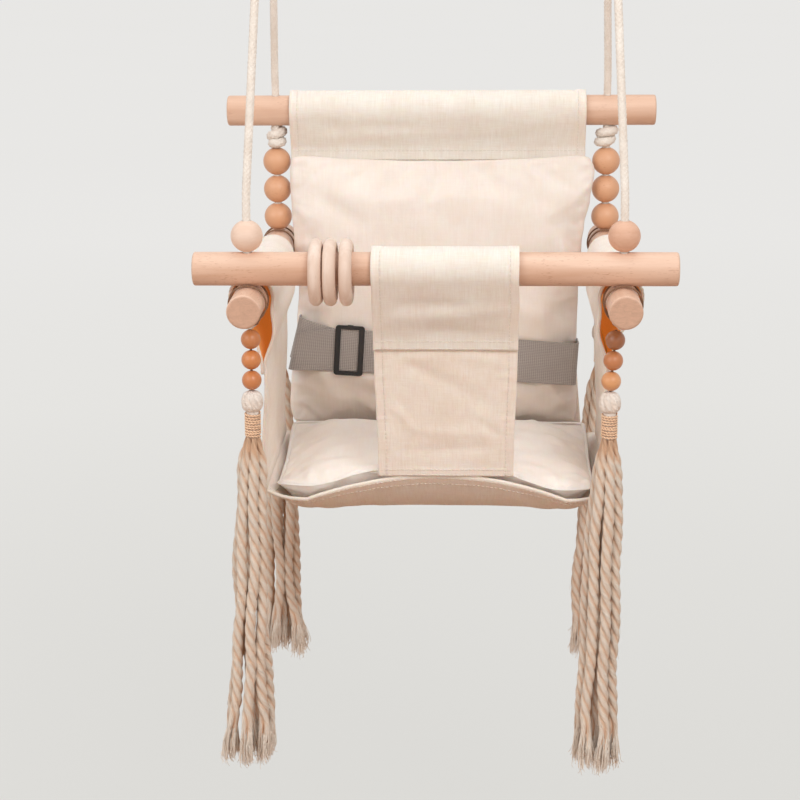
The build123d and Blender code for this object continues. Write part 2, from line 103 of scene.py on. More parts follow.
def ripple(x, y, z=0.0):
    """Smooth noise of about -1 to 1 at a point."""
    return noise.noise(Vector((x, y, z)))


def polar(radius, angle, rise=0.0):
    """A vector out from the Z axis and up."""
    return Vector((radius * cos(angle), radius * sin(angle), rise))


def make_piece(name, verts, faces, body, slot, material, uvs=None):
    """A smooth mesh object that rides on a body; uvs are one pair for each vertex."""
    mesh = bpy.data.meshes.new(name)
    mesh.from_pydata([tuple(v) for v in verts], [], faces)
    if uvs is not None:
        layer = mesh.uv_layers.new(name="cloth")
        for loop in mesh.loops:
            layer.data[loop.index].uv = uvs[loop.vertex_index]
    mesh.polygons.foreach_set("use_smooth", [True] * len(mesh.polygons))
    mesh.materials.append(material)
    mesh.update()
    piece = bpy.data.objects.new(name, mesh)
    bpy.context.scene.collection.objects.link(piece)
    if body:
        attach(piece, body)
    return piece


def rings_to_faces(rings, sides):
    """Quads between rings of vertices laid out one after another, with a cap at each end."""
    faces = []
    for start in range(0, (rings - 1) * sides, sides):
        for side in range(sides):
            after = (side + 1) % sides
            faces.append((start + side, start + after, start + sides + after, start + sides + side))
    faces.append(tuple(range(sides))[::-1])
    faces.append(tuple((rings - 1) * sides + side for side in range(sides)))
    return faces


def frames_along(points):
    """A tangent and two crossing directions at each point, turning as little as they can."""
    frames = []
    side, last = None, len(points) - 1
    for index in range(len(points)):
        tangent = (points[min(index + 1, last)] - points[max(index - 1, 0)]).normalized()
        if side is None:
            other = Vector((1, 0, 0)) if abs(tangent.x) < 0.8 else Vector((0, 1, 0))
            side = tangent.cross(other).normalized()
        else:
            side = (side - tangent * side.dot(tangent)).normalized()
        frames.append((tangent, side, tangent.cross(side)))
    return frames


def rings_along(points, radius, sides, start=0.0):
    """Rings of vertices about a line of points, and how far along each ring is, from start on.

    The radius is a number or radius(share, along, angle), where share goes from 0 to 1.
    """
    rings, ways = [], [start]
    for before, after in zip(points, points[1:]):
        ways.append(ways[-1] + (after - before).length)
    for index, (point, (_, across, up)) in enumerate(zip(points, frames_along(points))):
        share, ring = index / (len(points) - 1), []
        for side in range(sides):
            angle = 2 * pi * side / sides
            reach = radius(share, ways[index], angle) if callable(radius) else radius
            ring.append(point + reach * (cos(angle) * across + sin(angle) * up))
        rings.append(ring)
    return rings, ways


def tube(points, radius, sides):
    """Vertices and faces of a closed tube along points; the radius is as for rings_along."""
    rings, _ = rings_along(points, radius, sides)
    return [vertex for ring in rings for vertex in ring], rings_to_faces(len(rings), sides)


def joined(parts):
    """Several (verts, faces) lists as one."""
    verts = []
    faces = []
    for part_verts, part_faces in parts:
        start = len(verts)
        verts.extend(part_verts)
        faces.extend(tuple(start + v for v in face) for face in part_faces)
    return verts, faces


def resampled(points, step):
    """Points at even steps along a line of points."""
    out = [points[0].copy()]
    left = step
    for before, after in zip(points, points[1:]):
        run = (after - before).length
        done = 0.0
        while run - done >= left:
            done += left
            out.append(before.lerp(after, done / run))
            left = step
        left -= run - done
    if (out[-1] - points[-1]).length > 0.3 * step:
        out.append(points[-1].copy())
    return out


def spline_points(name, route, resolution):
    """The line of a smooth NURBS spline with the route as its control points."""
    curve = bpy.data.curves.new(name, "CURVE")
    curve.dimensions = "3D"
    spline = curve.splines.new("NURBS")
    spline.points.add(len(route) - 1)
    for point, place in zip(spline.points, route):
        point.co = (*place, 1.0)
    spline.order_u = 3
    spline.use_endpoint_u = True
    spline.resolution_u = resolution
    holder = bpy.data.objects.new(name, curve)
    mesh = bpy.data.meshes.new_from_object(holder)
    points = [v.co.copy() for v in mesh.vertices]
    bpy.data.meshes.remove(mesh)
    bpy.data.objects.remove(holder)
    bpy.data.curves.remove(curve)
    return points


# ---- helpers for materials ----------------------------------------------------------------
def linear(red, green, blue):
    """A colour of the screen, 0 to 255, as the shader takes it."""
    def channel(value):
        value /= 255
        return value / 12.92 if value <= 0.04045 else ((value + 0.055) / 1.055) ** 2.4
    return (channel(red), channel(green), channel(blue), 1.0)


class Nodes:
    """Makes the nodes of a new material or world and links them."""

    def __init__(self, owner):
        self.owner = owner
        owner.use_nodes = True
        self.tree = owner.node_tree
        self.tree.nodes.clear()

    def add(self, kind, inputs=None, **settings):
        """A node with its settings and inputs; an input is a value or another node's output."""
        node = self.tree.nodes.new(kind)
        for key, value in settings.items():
            setattr(node, key, value)
        for key, value in (inputs or {}).items():
            socket = node.inputs[key]
            if isinstance(value, bpy.types.NodeSocket):
                self.tree.links.new(value, socket)
            else:
                socket.default_value = value
        return node

    def math(self, operation, *values):
        """A Math node's output."""
        return self.add("ShaderNodeMath", dict(enumerate(values)), operation=operation).outputs[0]

    def total(self, *parts):
        """The sum of outputs, each given with its weight."""
        sums = [self.math("MULTIPLY", *part) for part in parts]
        while len(sums) > 1:
            sums[-2:] = [self.math("ADD", *sums[-2:])]
        return sums[0]

    def wave(self, value, length):
        """A sine wave of a length."""
        return self.math("SINE", self.math("MULTIPLY", value, 2 * pi / length))

    def mix(self, factor, first, second, blend="MIX"):
        """A colour mix's output."""
        return self.add("ShaderNodeMix", {0: factor, 6: first, 7: second}, data_type="RGBA",
                        blend_type=blend).outputs[2]

    def ramp(self, factor, *stops):
        """A colour ramp's output; each stop is a place and a grey or a colour."""
        node = self.add("ShaderNodeValToRGB", {0: factor})
        elements = node.color_ramp.elements
        while len(elements) < len(stops):
            elements.new(0.5)
        for element, (place, colour) in zip(elements, stops):
            element.position = place
            element.color = colour if hasattr(colour, "__len__") else (colour, colour, colour, 1)
        return node.outputs[0]

    def uv(self, name):
        """A UV map's coordinates."""
        return self.add("ShaderNodeUVMap", uv_map=name).outputs[0]

    def objects(self):
        """Object coordinates."""
        return self.add("ShaderNodeTexCoord").outputs["Object"]

    def scaled(self, vector, scale):
        """A vector scaled each way."""
        return self.add("ShaderNodeMapping", {0: vector, 3: scale}).outputs[0]

    def place(self, scale=1):
        """Object coordinates, scaled alike all ways."""
        return self.scaled(self.objects(), [scale] * 3)

    def split(self, vector):
        """A vector's three parts."""
        return self.add("ShaderNodeSeparateXYZ", {0: vector}).outputs

    def noise(self, vector, scale=1.0, detail=3.0, roughness=0.55, distortion=0.0):
        """A noise texture's height."""
        inputs = {"Vector": vector, "Scale": scale, "Detail": detail, "Roughness": roughness,
                  "Distortion": distortion}
        return self.add("ShaderNodeTexNoise", inputs).outputs[0]

    def bump(self, height, strength, distance, normal=None):
        """A bump's normal."""
        inputs = {"Strength": strength, "Distance": distance, "Height": height}
        if normal is not None:
            inputs["Normal"] = normal
        return self.add("ShaderNodeBump", inputs).outputs[0]

    def finish(self, shader):
        """Ends the material at a shader's output."""
        self.add("ShaderNodeOutputMaterial", {0: shader})
        return self.owner

    def surface(self, colour, roughness, normal=None, **inputs):
        """Ends the material in a principled shader; inputs are named as the sockets are, with _."""
        inputs = {key.replace("_", " "): value for key, value in inputs.items()}
        inputs.update({"Base Color": colour, "Roughness": roughness})
        if normal is not None:
            inputs["Normal"] = normal
        return self.finish(self.add("ShaderNodeBsdfPrincipled", inputs).outputs[0])


def new_material(name):
    """The nodes of a new material."""
    return Nodes(bpy.data.materials.new(name))


# ---- wood ---------------------------------------------------------------------------------
def wood(name, light, dark, along, fleck, rough=0.45, grain=1.0, end_grain=None, gloss=0.0,
         offset=(0.0, 0.0, 0.0), tints=None, span=None):
    """Beech with its grain along an axis: streaks, fine pores and short dark flecks.

    The tints colour the top, middle and lowest thirds of the box given as the span.
    """
    m = new_material(name)
    axis = "XYZ".index(along)
    here = m.objects()
    base = m.add("ShaderNodeMapping", {0: here, 1: offset}).outputs[0]

    def grained(lengthwise, across, *settings):
        scale = [across] * 3
        scale[axis] = lengthwise
        return m.noise(m.scaled(base, scale), 1.0, *settings)

    streaks = grained(9, 126, 5.0, 0.6, 0.4)
    bands = grained(2.2, 30.8, 2.0, 0.5, 0.8)
    pores = grained(60, 840, 3.0, 0.6)
    flecks = grained(230, 1900, 0.0, 0.5)
    patches = m.noise(base, 45.0, 2.0, 0.5)
    tone = m.total((streaks, 0.55 * grain), (bands, 0.75 * grain))
    colour = m.mix(m.ramp(tone, (0.42, 0.0), (0.86, 1.0)), light, dark)
    colour = m.mix(m.ramp(pores, (0.55, 0.0), (0.75, 0.35 * grain)), colour, dark)
    spots = m.math("MULTIPLY", m.ramp(flecks, (0.70, 0.0), (0.77, 1.0)),
                   m.ramp(patches, (0.42, 0.0), (0.6, fleck)))
    colour = m.mix(spots, colour, [share * c for share, c in zip((0.62, 0.42, 0.32), dark)] + [1.0])
    if end_grain is not None:
        facing = m.split(m.add("ShaderNodeNewGeometry").outputs["True Normal"])[axis]
        rings = m.noise(m.scaled(base, (160, 160, 420)), 1.0, 3.0, 0.6, 0.8)
        saw = m.noise(m.scaled(base, (900, 900, 2500)), 1.0, 2.0)
        end_tone = m.total((rings, 0.7), (saw, 0.3))
        end_colour = m.mix(m.ramp(end_tone, (0.35, 0.0), (0.68, 1.0)), end_grain,
                           [0.80 * c for c in end_grain[:3]] + [1.0])
        colour = m.mix(m.ramp(m.math("ABSOLUTE", facing), (0.55, 0.0), (0.93, 1.0)), colour,
                       end_colour)
    if tints:
        share = m.add("ShaderNodeMapRange", {0: m.split(here)[2], 1: span[0][2], 2: span[1][2]})
        top, mid, foot = ((*tint, 1.0) for tint in tints)
        tint = m.ramp(share.outputs[0], (0.33, foot), (0.34, mid), (0.66, mid), (0.67, top))
        colour = m.mix(1.0, colour, tint, "MULTIPLY")
    height = m.total((pores, 0.6), (streaks, 0.4), (spots, -0.8))
    roughness = m.ramp(streaks, (0.3, rough - 0.06), (0.7, rough + 0.10))
    return m.surface(colour, roughness, m.bump(height, 0.18, 0.0004), Coat_Weight=gloss,
                     Coat_Roughness=0.3)


def dress(node, material):
    """Gives a CAD node its material."""
    mesh = bpy.data.objects[node].data
    mesh.materials.clear()
    mesh.materials.append(material)


BAR_LIGHT = linear(238, 204, 181)
BAR_DARK = linear(212, 168, 140)
BAR_END = linear(224, 186, 158)
dress("front_bar", wood("beech_x", BAR_LIGHT, BAR_DARK, "X", 0.75, end_grain=BAR_END))
dress("rear_bar", wood("beech_rear", BAR_LIGHT, BAR_DARK, "X", 0.6, end_grain=BAR_END,
                       offset=(0.31, 0.07, 0.2)))
beech_y = wood("beech_y", BAR_LIGHT, BAR_DARK, "Y", 0.6, end_grain=linear(214, 172, 146))
for side in SIDES:
    dress(f"side_bar_{side}", beech_y)
bead_front = {
    side: wood(f"bead_front_{side}", light, dark, "X", 0.35, 0.5, 0.9) for side, light, dark in (
        ("left", linear(244, 218, 200), linear(222, 186, 162)),
        ("right", linear(232, 190, 164), linear(206, 154, 124)))
}
bead_rear = wood("bead_rear", linear(252, 216, 184), linear(222, 168, 130), "X", 0.5, 0.42, 1.7,
                 gloss=0.15)
toy_ring = wood("toy_ring", linear(248, 232, 220), linear(226, 200, 182), "Z", 0.15, 0.5, 1.2)
for side in SIDES:
    dress(f"front_bead_{side}", bead_front[side])
    for number in (1, 2, 3):
        dress(f"rear_bead_{side}_{number}", bead_rear)
for number in (1, 2, 3):
    dress(f"toy_ring_{number}", toy_ring)


BEAD_TINTS = {  # of the small oiled beads, top to bottom
    "front_left": ((226, 158, 102), (234, 160, 98), (230, 158, 100)),
    "front_right": ((186, 126, 82), (220, 154, 104), (240, 182, 128)),
    "rear_left": ((240, 184, 130), (216, 150, 100), (186, 126, 84)),
    "rear_right": ((222, 154, 100), (184, 124, 82), (238, 180, 126)),
}
oiled_light = linear(226, 164, 118)
for corner, tints in BEAD_TINTS.items():
    shades = [[tint / light for tint, light in zip(linear(*colour)[:3], oiled_light[:3])]
              for colour in tints]
    node = f"small_beads_{corner}"
    dress(node, wood(f"bead_oiled_{corner}", oiled_light, linear(202, 134, 90), "X", 0.25, 0.36,
                     1.3, gloss=0.35, tints=shades, span=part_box(node)))


# ---- steel --------------------------------------------------------------------------------
def make_steel():
    """Brushed steel wire of the hanging rings."""
    m = new_material("ring_steel")
    marks = m.noise(m.place(40), 12.0, 4.0, 0.6)
    fine = m.noise(m.place(400), 1.0, 2.0)
    colour = m.mix(marks, linear(196, 196, 194), linear(226, 226, 224))
    return m.surface(colour, m.ramp(marks, (0.3, 0.22), (0.7, 0.38)), m.bump(fine, 0.1, 0.0002),
                     Metallic=1.0)


steel = make_steel()
for side in SIDES:
    dress(f"hanging_ring_{side}", steel)


# ---- cotton of ropes, knots and tassels ---------------------------------------------------
def cotton(name, light, dark, lay_scale, fuzz):
    """Soft cotton yarn: fine fibres, darker hollows, a little sheen."""
    m = new_material(name)
    here = m.place()
    fibres = m.noise(here, lay_scale, 4.0, 0.65, 0.6)
    cloud = m.noise(here, 60.0, 3.0, 0.5)
    tone = m.total((fibres, 0.6), (cloud, 0.5))
    colour = m.mix(m.ramp(tone, (0.36, 0.0), (0.72, 1.0)), dark, light)
    return m.surface(colour, 0.9, m.bump(fibres, fuzz, 0.0004), Sheen_Weight=0.25,
                     Sheen_Roughness=0.5)


rope_cotton = cotton("rope_cotton", linear(246, 239, 230), linear(224, 210, 196), 900.0, 0.5)
waxed_cord = cotton("waxed_cord", linear(150, 112, 84), linear(104, 74, 54), 1500.0, 0.3)


# ---- camera -------------------------------------------------------------------------------
camera_data = bpy.data.cameras.new("camera")
camera = bpy.data.objects.new("camera", camera_data)
bpy.context.scene.collection.objects.link(camera)
camera_data.lens = 90.30
camera_data.sensor_width = 36.0
camera_data.clip_start = 0.05
camera.location = (0.0371, -1.7547, -0.1146)
camera.rotation_euler = (Matrix.Rotation(radians(2.350), 3, "Z")
                         @ Matrix.Rotation(radians(90 - 15.054), 3, "X")
                         @ Matrix.Rotation(radians(-0.398), 3, "Z")).to_euler()
bpy.context.scene.camera = camera


# ---- ropes --------------------------------------------------------------------------------
# One rope a side, from the front stopper knot over the ring to the rear stopper knot. The route
# is the model's own, with a point beside each end of its long straight runs.
ROPE_ROUTE = (
    (0.1550, -0.1300, -0.4906),
    (0.1550, -0.1300, -0.4137),
    (0.1550, -0.1300, -0.3957),
    (0.1550, -0.1273, -0.3779),
    (0.1543, -0.1219, -0.3607),
    (0.1420, -0.0179, -0.0329),
    (0.1405, -0.0052, 0.0071),
    (0.1405, 0.0049, 0.0071),
    (0.1423, 0.0201, -0.0320),
    (0.1542, 0.1203, -0.2888),
    (0.1550, 0.1268, -0.3056),
    (0.1550, 0.1300, -0.3233),
    (0.1550, 0.1300, -0.3413),
    (0.1550, 0.1300, -0.4906),
)
CARRIERS = 6  # strands each way round the braid
BRAID_PITCH = 26 * MM


def braid(_, along, angle):
    """Radius of a braided cord: strands cross over and under in turn."""
    one, two = (CARRIERS * (angle / (2 * pi) + way * along / BRAID_PITCH) for way in (1, -1))
    over = (floor(one) + floor(two)) % 2 == 0
    across, length = (one, two) if over else (two, one)
    round_across = sqrt(max(0.0, 1 - (2 * (across % 1) - 1) ** 2))
    round_along = 1 - (2 * (length % 1) - 1) ** 2
    return ROPE_DIA / 2 * (0.80 + 0.24 * round_across * (0.45 + 0.55 * round_along))


def make_rope(side, sign):
    """A braided cotton rope on the model's route."""
    route = [(sign * x, y, z) for x, y, z in ROPE_ROUTE]
    line = spline_points(f"route_{side}", route, 40)
    points = resampled(line, 0.8 * MM)
    verts, faces = tube(points, braid, 30)
    rope = make_piece(f"braided_rope_{side}", verts, faces, "seat", "cotton_rope", rope_cotton)
    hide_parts(f"rope_{side}")
    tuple(route[0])


for side, sign in SIDES.items():
    make_rope(side, sign)


# ---- tassels ------------------------------------------------------------------------------
class Yarns:
    """Tubes of yarn for one piece; its UV map runs round and along each tube, in metres along, and
    a second map, depth, holds how much painted shade each vertex takes.
    """

    def __init__(self):
        self.verts, self.faces, self.uvs, self.shade_depths = [], [], [], []

    def rings(self, rings, along, depth=None):
        """Rings of vertices, each at its place along, joined and capped; depth(vertex, ring) gives
        how much painted shade a vertex takes.
        """
        first, sides = len(self.verts), len(rings[0])
        for number, ring in enumerate(rings):
            self.verts.extend(ring)
            self.shade_depths.extend(depth(vertex, number) if depth else 0.0 for vertex in ring)
        self.faces += [tuple(first + v for v in face) for face in rings_to_faces(len(rings), sides)]
        for low, high in zip(along, along[1:]):
            for side in range(sides):
                u, after = side / sides, (side + 1) / sides
                self.uvs += [(u, low), (after, low), (after, high), (u, high)]
        self.uvs += [(0.0, along[0])] * sides + [(0.0, along[-1])] * sides

    def add(self, points, radius, sides, start, depth=None):
        """One tube; the radius is as for rings_along."""
        self.rings(*rings_along(points, radius, sides, start), depth)

    def piece(self, name, corner, slot, material):
        """The tubes as one piece of a tassel."""
        piece = make_piece(name, self.verts, self.faces, f"tassel_{corner}", slot, material)
        # The depth UV map carries how much painted shade each vertex takes.
        shade_depths = [(self.shade_depths[loop.vertex_index], 0.5) for loop in piece.data.loops]
        for layer_name, pairs in (("lay", self.uvs), ("depth", shade_depths)):
            layer = piece.data.uv_layers.new(name=layer_name)
            layer.data.foreach_set("uv", [value for pair in pairs for value in pair])
        return piece


def yarn(name, light, dark, hollow_shade, turns, rough):
    """Spun cotton: fibres that wind along each strand, with painted shade in the hollows between
    them.
    """
    m = new_material(name)
    split = m.split(m.uv("lay"))
    angle = m.math("MULTIPLY", m.math("MULTIPLY_ADD", split[1], turns, split[0]), 2 * pi)
    lay = m.add("ShaderNodeCombineXYZ", {0: m.math("COSINE", angle), 1: m.math("SINE", angle),
                                         2: m.math("MULTIPLY", split[1], 55.0)}).outputs[0]
    fibres = m.noise(lay, 3.4, 4.0, 0.7, 0.3)
    strands = m.noise(lay, 1.5, 2.0, 0.5)
    cloud = m.noise(m.place(), 45.0, 3.0, 0.6)
    tone = m.total((fibres, 0.55), (strands, 0.25), (cloud, 0.3))
    colour = m.mix(m.ramp(tone, (0.34, 0.0), (0.74, 1.0)), dark, light)
    # Painted shade: the lowest fibre tones take the colour of the hollows' shade.
    colour = m.mix(m.ramp(tone, (0.30, 0.8), (0.42, 0.0)), colour, hollow_shade)
    # Painted shade: places deep between plies or turns, or in a tassel's middle, take the same
    # shade colour, by the depth UV map.
    depth = m.ramp(m.split(m.uv("depth"))[0], (0.45, 0.0), (1.0, 0.75))
    colour = m.mix(depth, colour, hollow_shade)
    height = m.total((fibres, 1.0), (strands, 0.9))
    return m.surface(colour, 0.92, m.bump(height, rough, 0.0022), Sheen_Weight=0.2,
                     Sheen_Roughness=0.5)


# The third colour of each yarn is its painted shade, for hollows and deep places.
tassel_yarn = yarn("tassel_yarn", linear(255, 249, 238), linear(255, 230, 205),
                   linear(244, 186, 136), 38.0, 1.0)
fibre_cotton = yarn("fibre_cotton", linear(255, 250, 240), linear(250, 230, 210),
                    linear(238, 196, 156), 0.0, 0.4)
head_yarn = yarn("head_yarn", linear(255, 248, 240), linear(242, 224, 208),
                 linear(214, 182, 158), 12.0, 1.0)
jute_yarn = yarn("jute_yarn", linear(255, 226, 194), linear(250, 204, 166),
                 linear(170, 110, 72), 160.0, 0.3)

STRANDS = 7
STRAND_DIA = 9.0 * MM
PLY_RADIUS = 2.75 * MM
PLY_OFFSET = 2.1 * MM
PLY_PITCH = 40 * MM
PLY_STEP = 2.0 * MM
TIP_OPENS = 38 * MM  # length of a strand's tip over which its plies part
TIP_THINS = 34 * MM  # and over which they thin
FRAYED, HAIRS = 26, 16  # loose fibres at a ply's end, and along it
GOLDEN = 0.618  # share of a turn from one loose fibre to the next
STRAND_LONG = 292 * MM
STRAND_SWAY = (7.5, 5.5)  # across and back, in mm
TASSEL_DRIFTS = {  # of the tips from the head, across and back, in mm
    "front_left": (-10, -2), "front_right": (-7, -2), "rear_left": (-2, 3), "rear_right": (-5, 2),
}
BUNDLE = (  # under the wrap, half width of the ring of strands, in mm
    (0, 3.2), (10, 4.9), (26, 6.9), (54, 8.4), (84, 10.4), (114, 12.0), (144, 12.8), (174, 13.2),
    (204, 14.2), (234, 15.6), (264, 17.2), (292, 18.6),
)


def neck_scale(drop):
    """How far a strand is drawn in by the wrap above it."""
    return 0.5 + 0.5 * smoothstep(0.0, 26 * MM, drop)


def apart(places, least):
    """Pushes strands apart at one level until none is nearer to another than the least."""
    for _ in range(30):
        for one in range(len(places)):
            for two in range(one):
                gap = places[one] - places[two]
                short = least - gap.length
                if short > 0:
                    push = gap.normalized() * short / 2
                    places[one] += push
                    places[two] -= push
    return places


def strand_routes(corner, seed):
    """The control points of a tassel's strands, from the wrap down."""
    foot = middle(f"twine_wrap_{corner}") - Vector((0, 0, size(f"twine_wrap_{corner}").z / 2))
    drift_x, drift_y = TASSEL_DRIFTS[corner]
    routes = [[] for _ in range(STRANDS)]
    lengths = [STRAND_LONG * (1 - 0.085 * abs(ripple(3.7 * number, seed, 9.0)))
               for number in range(STRANDS)]
    for drop, ring in BUNDLE:
        share = drop / BUNDLE[-1][0]
        places = []
        for number in range(STRANDS):
            angle = 2 * pi * number / (STRANDS - 1) + 0.6 * seed + 0.9 * share * ripple(seed, 1.0)
            reach = 0.0 if number == STRANDS - 1 else ring
            loose = min(1.0, drop / 40)
            sway_x, sway_y = (ripple(0.016 * drop, 5.3 * number, seed + key) for key in (0.0, 7.0))
            places.append(Vector((reach * cos(angle) + loose * STRAND_SWAY[0] * sway_x,
                                  0.72 * reach * sin(angle) + loose * STRAND_SWAY[1] * sway_y)))
        places = apart(places, 0.84 * STRAND_DIA / MM * neck_scale(drop * MM))
        centre = sum(places, Vector((0, 0))) / STRANDS
        bend = share ** 0.9
        for number, spot in enumerate(places):
            spot = spot - centre * 0.8
            depth = min(drop * MM, lengths[number])
            if routes[number] and foot.z - depth > routes[number][-1][2] - 6 * MM:
                continue
            routes[number].append((foot.x + (spot.x + bend * drift_x) * MM,
                                   foot.y + (spot.y + bend * drift_y) * MM, foot.z - depth))
    return routes


def plies(line, phase):
    """The lines of a strand's three plies, which open out at its tip, and the line's length."""
    points = resampled(line, PLY_STEP)
    length = PLY_STEP * (len(points) - 1)
    out = [[] for _ in range(3)]
    for index, (point, (tangent, _, _)) in enumerate(zip(points, frames_along(points))):
        along = index * PLY_STEP
        across = (Vector((1, 0, 0)) - tangent * tangent.x).normalized()
        back = across.cross(tangent)
        open_up = smoothstep(length - TIP_OPENS, length, along)
        offset = PLY_OFFSET * neck_scale(along) * (1 + 0.9 * open_up)
        turn = phase + 2 * pi * along / PLY_PITCH * (1 - 0.12 * open_up)
        for number in range(3):
            angle = turn + 2 * pi * number / 3
            out[number].append(point + offset * (cos(angle) * across + sin(angle) * back))
    return out, length


def fray(fibres, ply, seed):
    """Loose fibres out of a ply's last stretch, gathered into a wisp."""
    wisp = ply[-1] + Vector((2.2 * ripple(seed, 1.3), 2.0 * ripple(seed, 4.7),
                             -7 - 6 * ripple(seed, 8.1))) * MM
    for number in range(FRAYED):
        key = seed + 0.731 * number
        back = int((8 + 52 * abs(ripple(key, 2.2))) * MM / PLY_STEP)
        back = min(back, len(ply) - 3)
        base = ply[-1 - back]
        tangent = (ply[-back] - base).normalized()
        across = polar(1, 2 * pi * ((GOLDEN * number) % 1))
        stray = 1.0 if number % 6 else 2.6
        spread = stray * (1.5 + 3.2 * abs(ripple(key, 6.6))) * MM
        tip = wisp + across * spread + Vector((0, 0, 12 * MM * ripple(key, 3.1)))
        start = base + across * 0.8 * PLY_RADIUS
        reach = (tip - start).length
        points = []
        for step in range(8):
            share = step / 7
            bow = start + tangent * reach * share
            spot = bow.lerp(tip, share ** 1.4)
            curl = 0.7 * MM * stray * sin(5 * share + key)
            points.append(spot + polar(curl, key) * share)
        fibres.add(points, lambda share, *_: (0.34 - 0.18 * share) * MM, 4, key)


def hairs(fibres, ply, seed):
    """Short loose hairs that stand off a ply, more of them lower down."""
    for number in range(HAIRS):
        key = seed + 1.37 * number
        share = 0.12 + 0.83 * ((GOLDEN * number + 0.37 * seed) % 1) ** 0.6
        root = ply[int(share * (len(ply) - 8)) + 2]
        out = polar(1, 2 * pi * ((0.414 * number + seed) % 1))
        points = []
        for step in range(5):
            share = step / 4
            lift = PLY_RADIUS + (2.4 * share - 0.6 + 1.6 * share * ripple(key, 5.0)) * MM
            fall = Vector((0, 0, -6 * MM * share * (1 + ripple(key, 7.7))))
            points.append(root + out * lift * (0.9 if share < 1 else 0.82) + fall)
        fibres.add(points, 0.13 * MM, 3, key)


def make_tassel(corner, seed):
    """A tassel's strands with their frayed ends."""
    fibres = Yarns()
    routes = strand_routes(corner, seed)
    for number, route in enumerate(routes):
        name = f"strand_{corner}_{number + 1}"
        line = spline_points(name, route, 14)
        lines, length = plies(line, 1.7 * number + seed)
        middles = [sum(spots, Vector()) / 3 for spots in zip(*lines)]
        strand = Yarns()

        def hollow_shade(vertex, ring):
            """How deep a place lies between plies or in the tassel's middle, which is how much
            painted shade it takes.
            """
            centre = middles[ring]
            share = max(0.0, -(centre.z - route[0][2])) / STRAND_LONG
            axis = [a + (b - a) * share for a, b in zip(routes[-1][0], routes[-1][-1])]
            groove_shade = 1.25 - (vertex - centre).length / (PLY_RADIUS + PLY_OFFSET)
            inward = (hypot(centre.x - axis[0], centre.y - axis[1])
                      - hypot(vertex.x - axis[0], vertex.y - axis[1]))
            return min(1.0, max(0.0, 1.6 * groove_shade, 0.75 * inward / PLY_OFFSET - 0.35))

        def ply_radius(share, *_):
            thin = 1 - 0.5 * smoothstep(length - TIP_THINS, length, share * length)
            return PLY_RADIUS * neck_scale(share * length) * thin

        for ply_number, ply in enumerate(lines):
            strand.add(ply, ply_radius, 9, 0.37 * ply_number, hollow_shade)
            key = 10 * seed + 3.1 * number + ply_number
            fray(fibres, ply, key)
            hairs(fibres, ply, key)
        piece = strand.piece(name, corner, "tassel_cotton", tassel_yarn)
    ends = fibres.piece(f"frayed_ends_{corner}", corner, "tassel_cotton", fibre_cotton)
    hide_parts(f"strands_{corner}")


HEAD_PROFILE = (  # height and radius as shares of the ball's
    (-1.0, 0.56), (-0.93, 0.72), (-0.8, 0.85), (-0.6, 0.95), (-0.35, 1.0), (0.0, 1.01),
    (0.3, 0.97), (0.55, 0.88), (0.76, 0.74), (0.9, 0.56), (0.98, 0.36), (1.0, 0.16),
)
NECK_RADIUS = 5.2 * MM
HEAD_SIDES, HEAD_LEVELS = 96, 44


def make_head(corner, seed, lobes, cleft):
    """The ball over the wrap: strands folded over the cord, with the neck inside the wrap."""
    centre, extent = middle(f"tassel_head_{corner}"), size(f"tassel_head_{corner}")
    wrap, tall = size(f"twine_wrap_{corner}").z, extent.z / 2
    angles = [2 * pi * number / HEAD_SIDES for number in range(HEAD_SIDES)]
    along = [-tall - wrap - 0.5 * MM, -tall - 0.5 * wrap, -tall - 0.6 * MM]
    rings = [[centre + polar(NECK_RADIUS, a, rise) for a in angles] for rise in along]
    for level in range(HEAD_LEVELS + 1):
        place = level / HEAD_LEVELS * (len(HEAD_PROFILE) - 1)
        first = min(int(place), len(HEAD_PROFILE) - 2)
        low, high = HEAD_PROFILE[first], HEAD_PROFILE[first + 1]
        rise, reach = (a + (place - first) * (b - a) for a, b in zip(low, high))
        ring = []
        for a in angles:
            lobe = abs(sin(lobes * (a + 0.3 * rise) / 2 + seed))
            ridge = 1 - 0.16 * (1 - lobe) ** 2
            split = 1 - cleft * exp(-(cos(a - 0.15) / 0.3) ** 2) * (1.2 + rise) / 2
            fluff = 1 + 0.05 * ripple(5 * cos(a), 5 * sin(a), 6 * rise + seed)
            radius = extent.x / 2 * reach * ridge * split * fluff
            ring.append(centre + polar(radius, a, tall * rise))
        rings.append(ring)
        along.append(tall * rise)
    head = Yarns()
    head.rings(rings, along)
    ball = head.piece(f"tassel_ball_{corner}", corner, "tassel_cotton", head_yarn)
    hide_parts(f"tassel_head_{corner}")


WRAP_TURNS = 9
TURN_STEPS = 30
TWINE_PLY = 0.62 * MM
TWINE_OFFSET = 0.55 * MM
TWINE_STEP = 0.75 * MM
TWINE_PITCH = 5.5 * MM


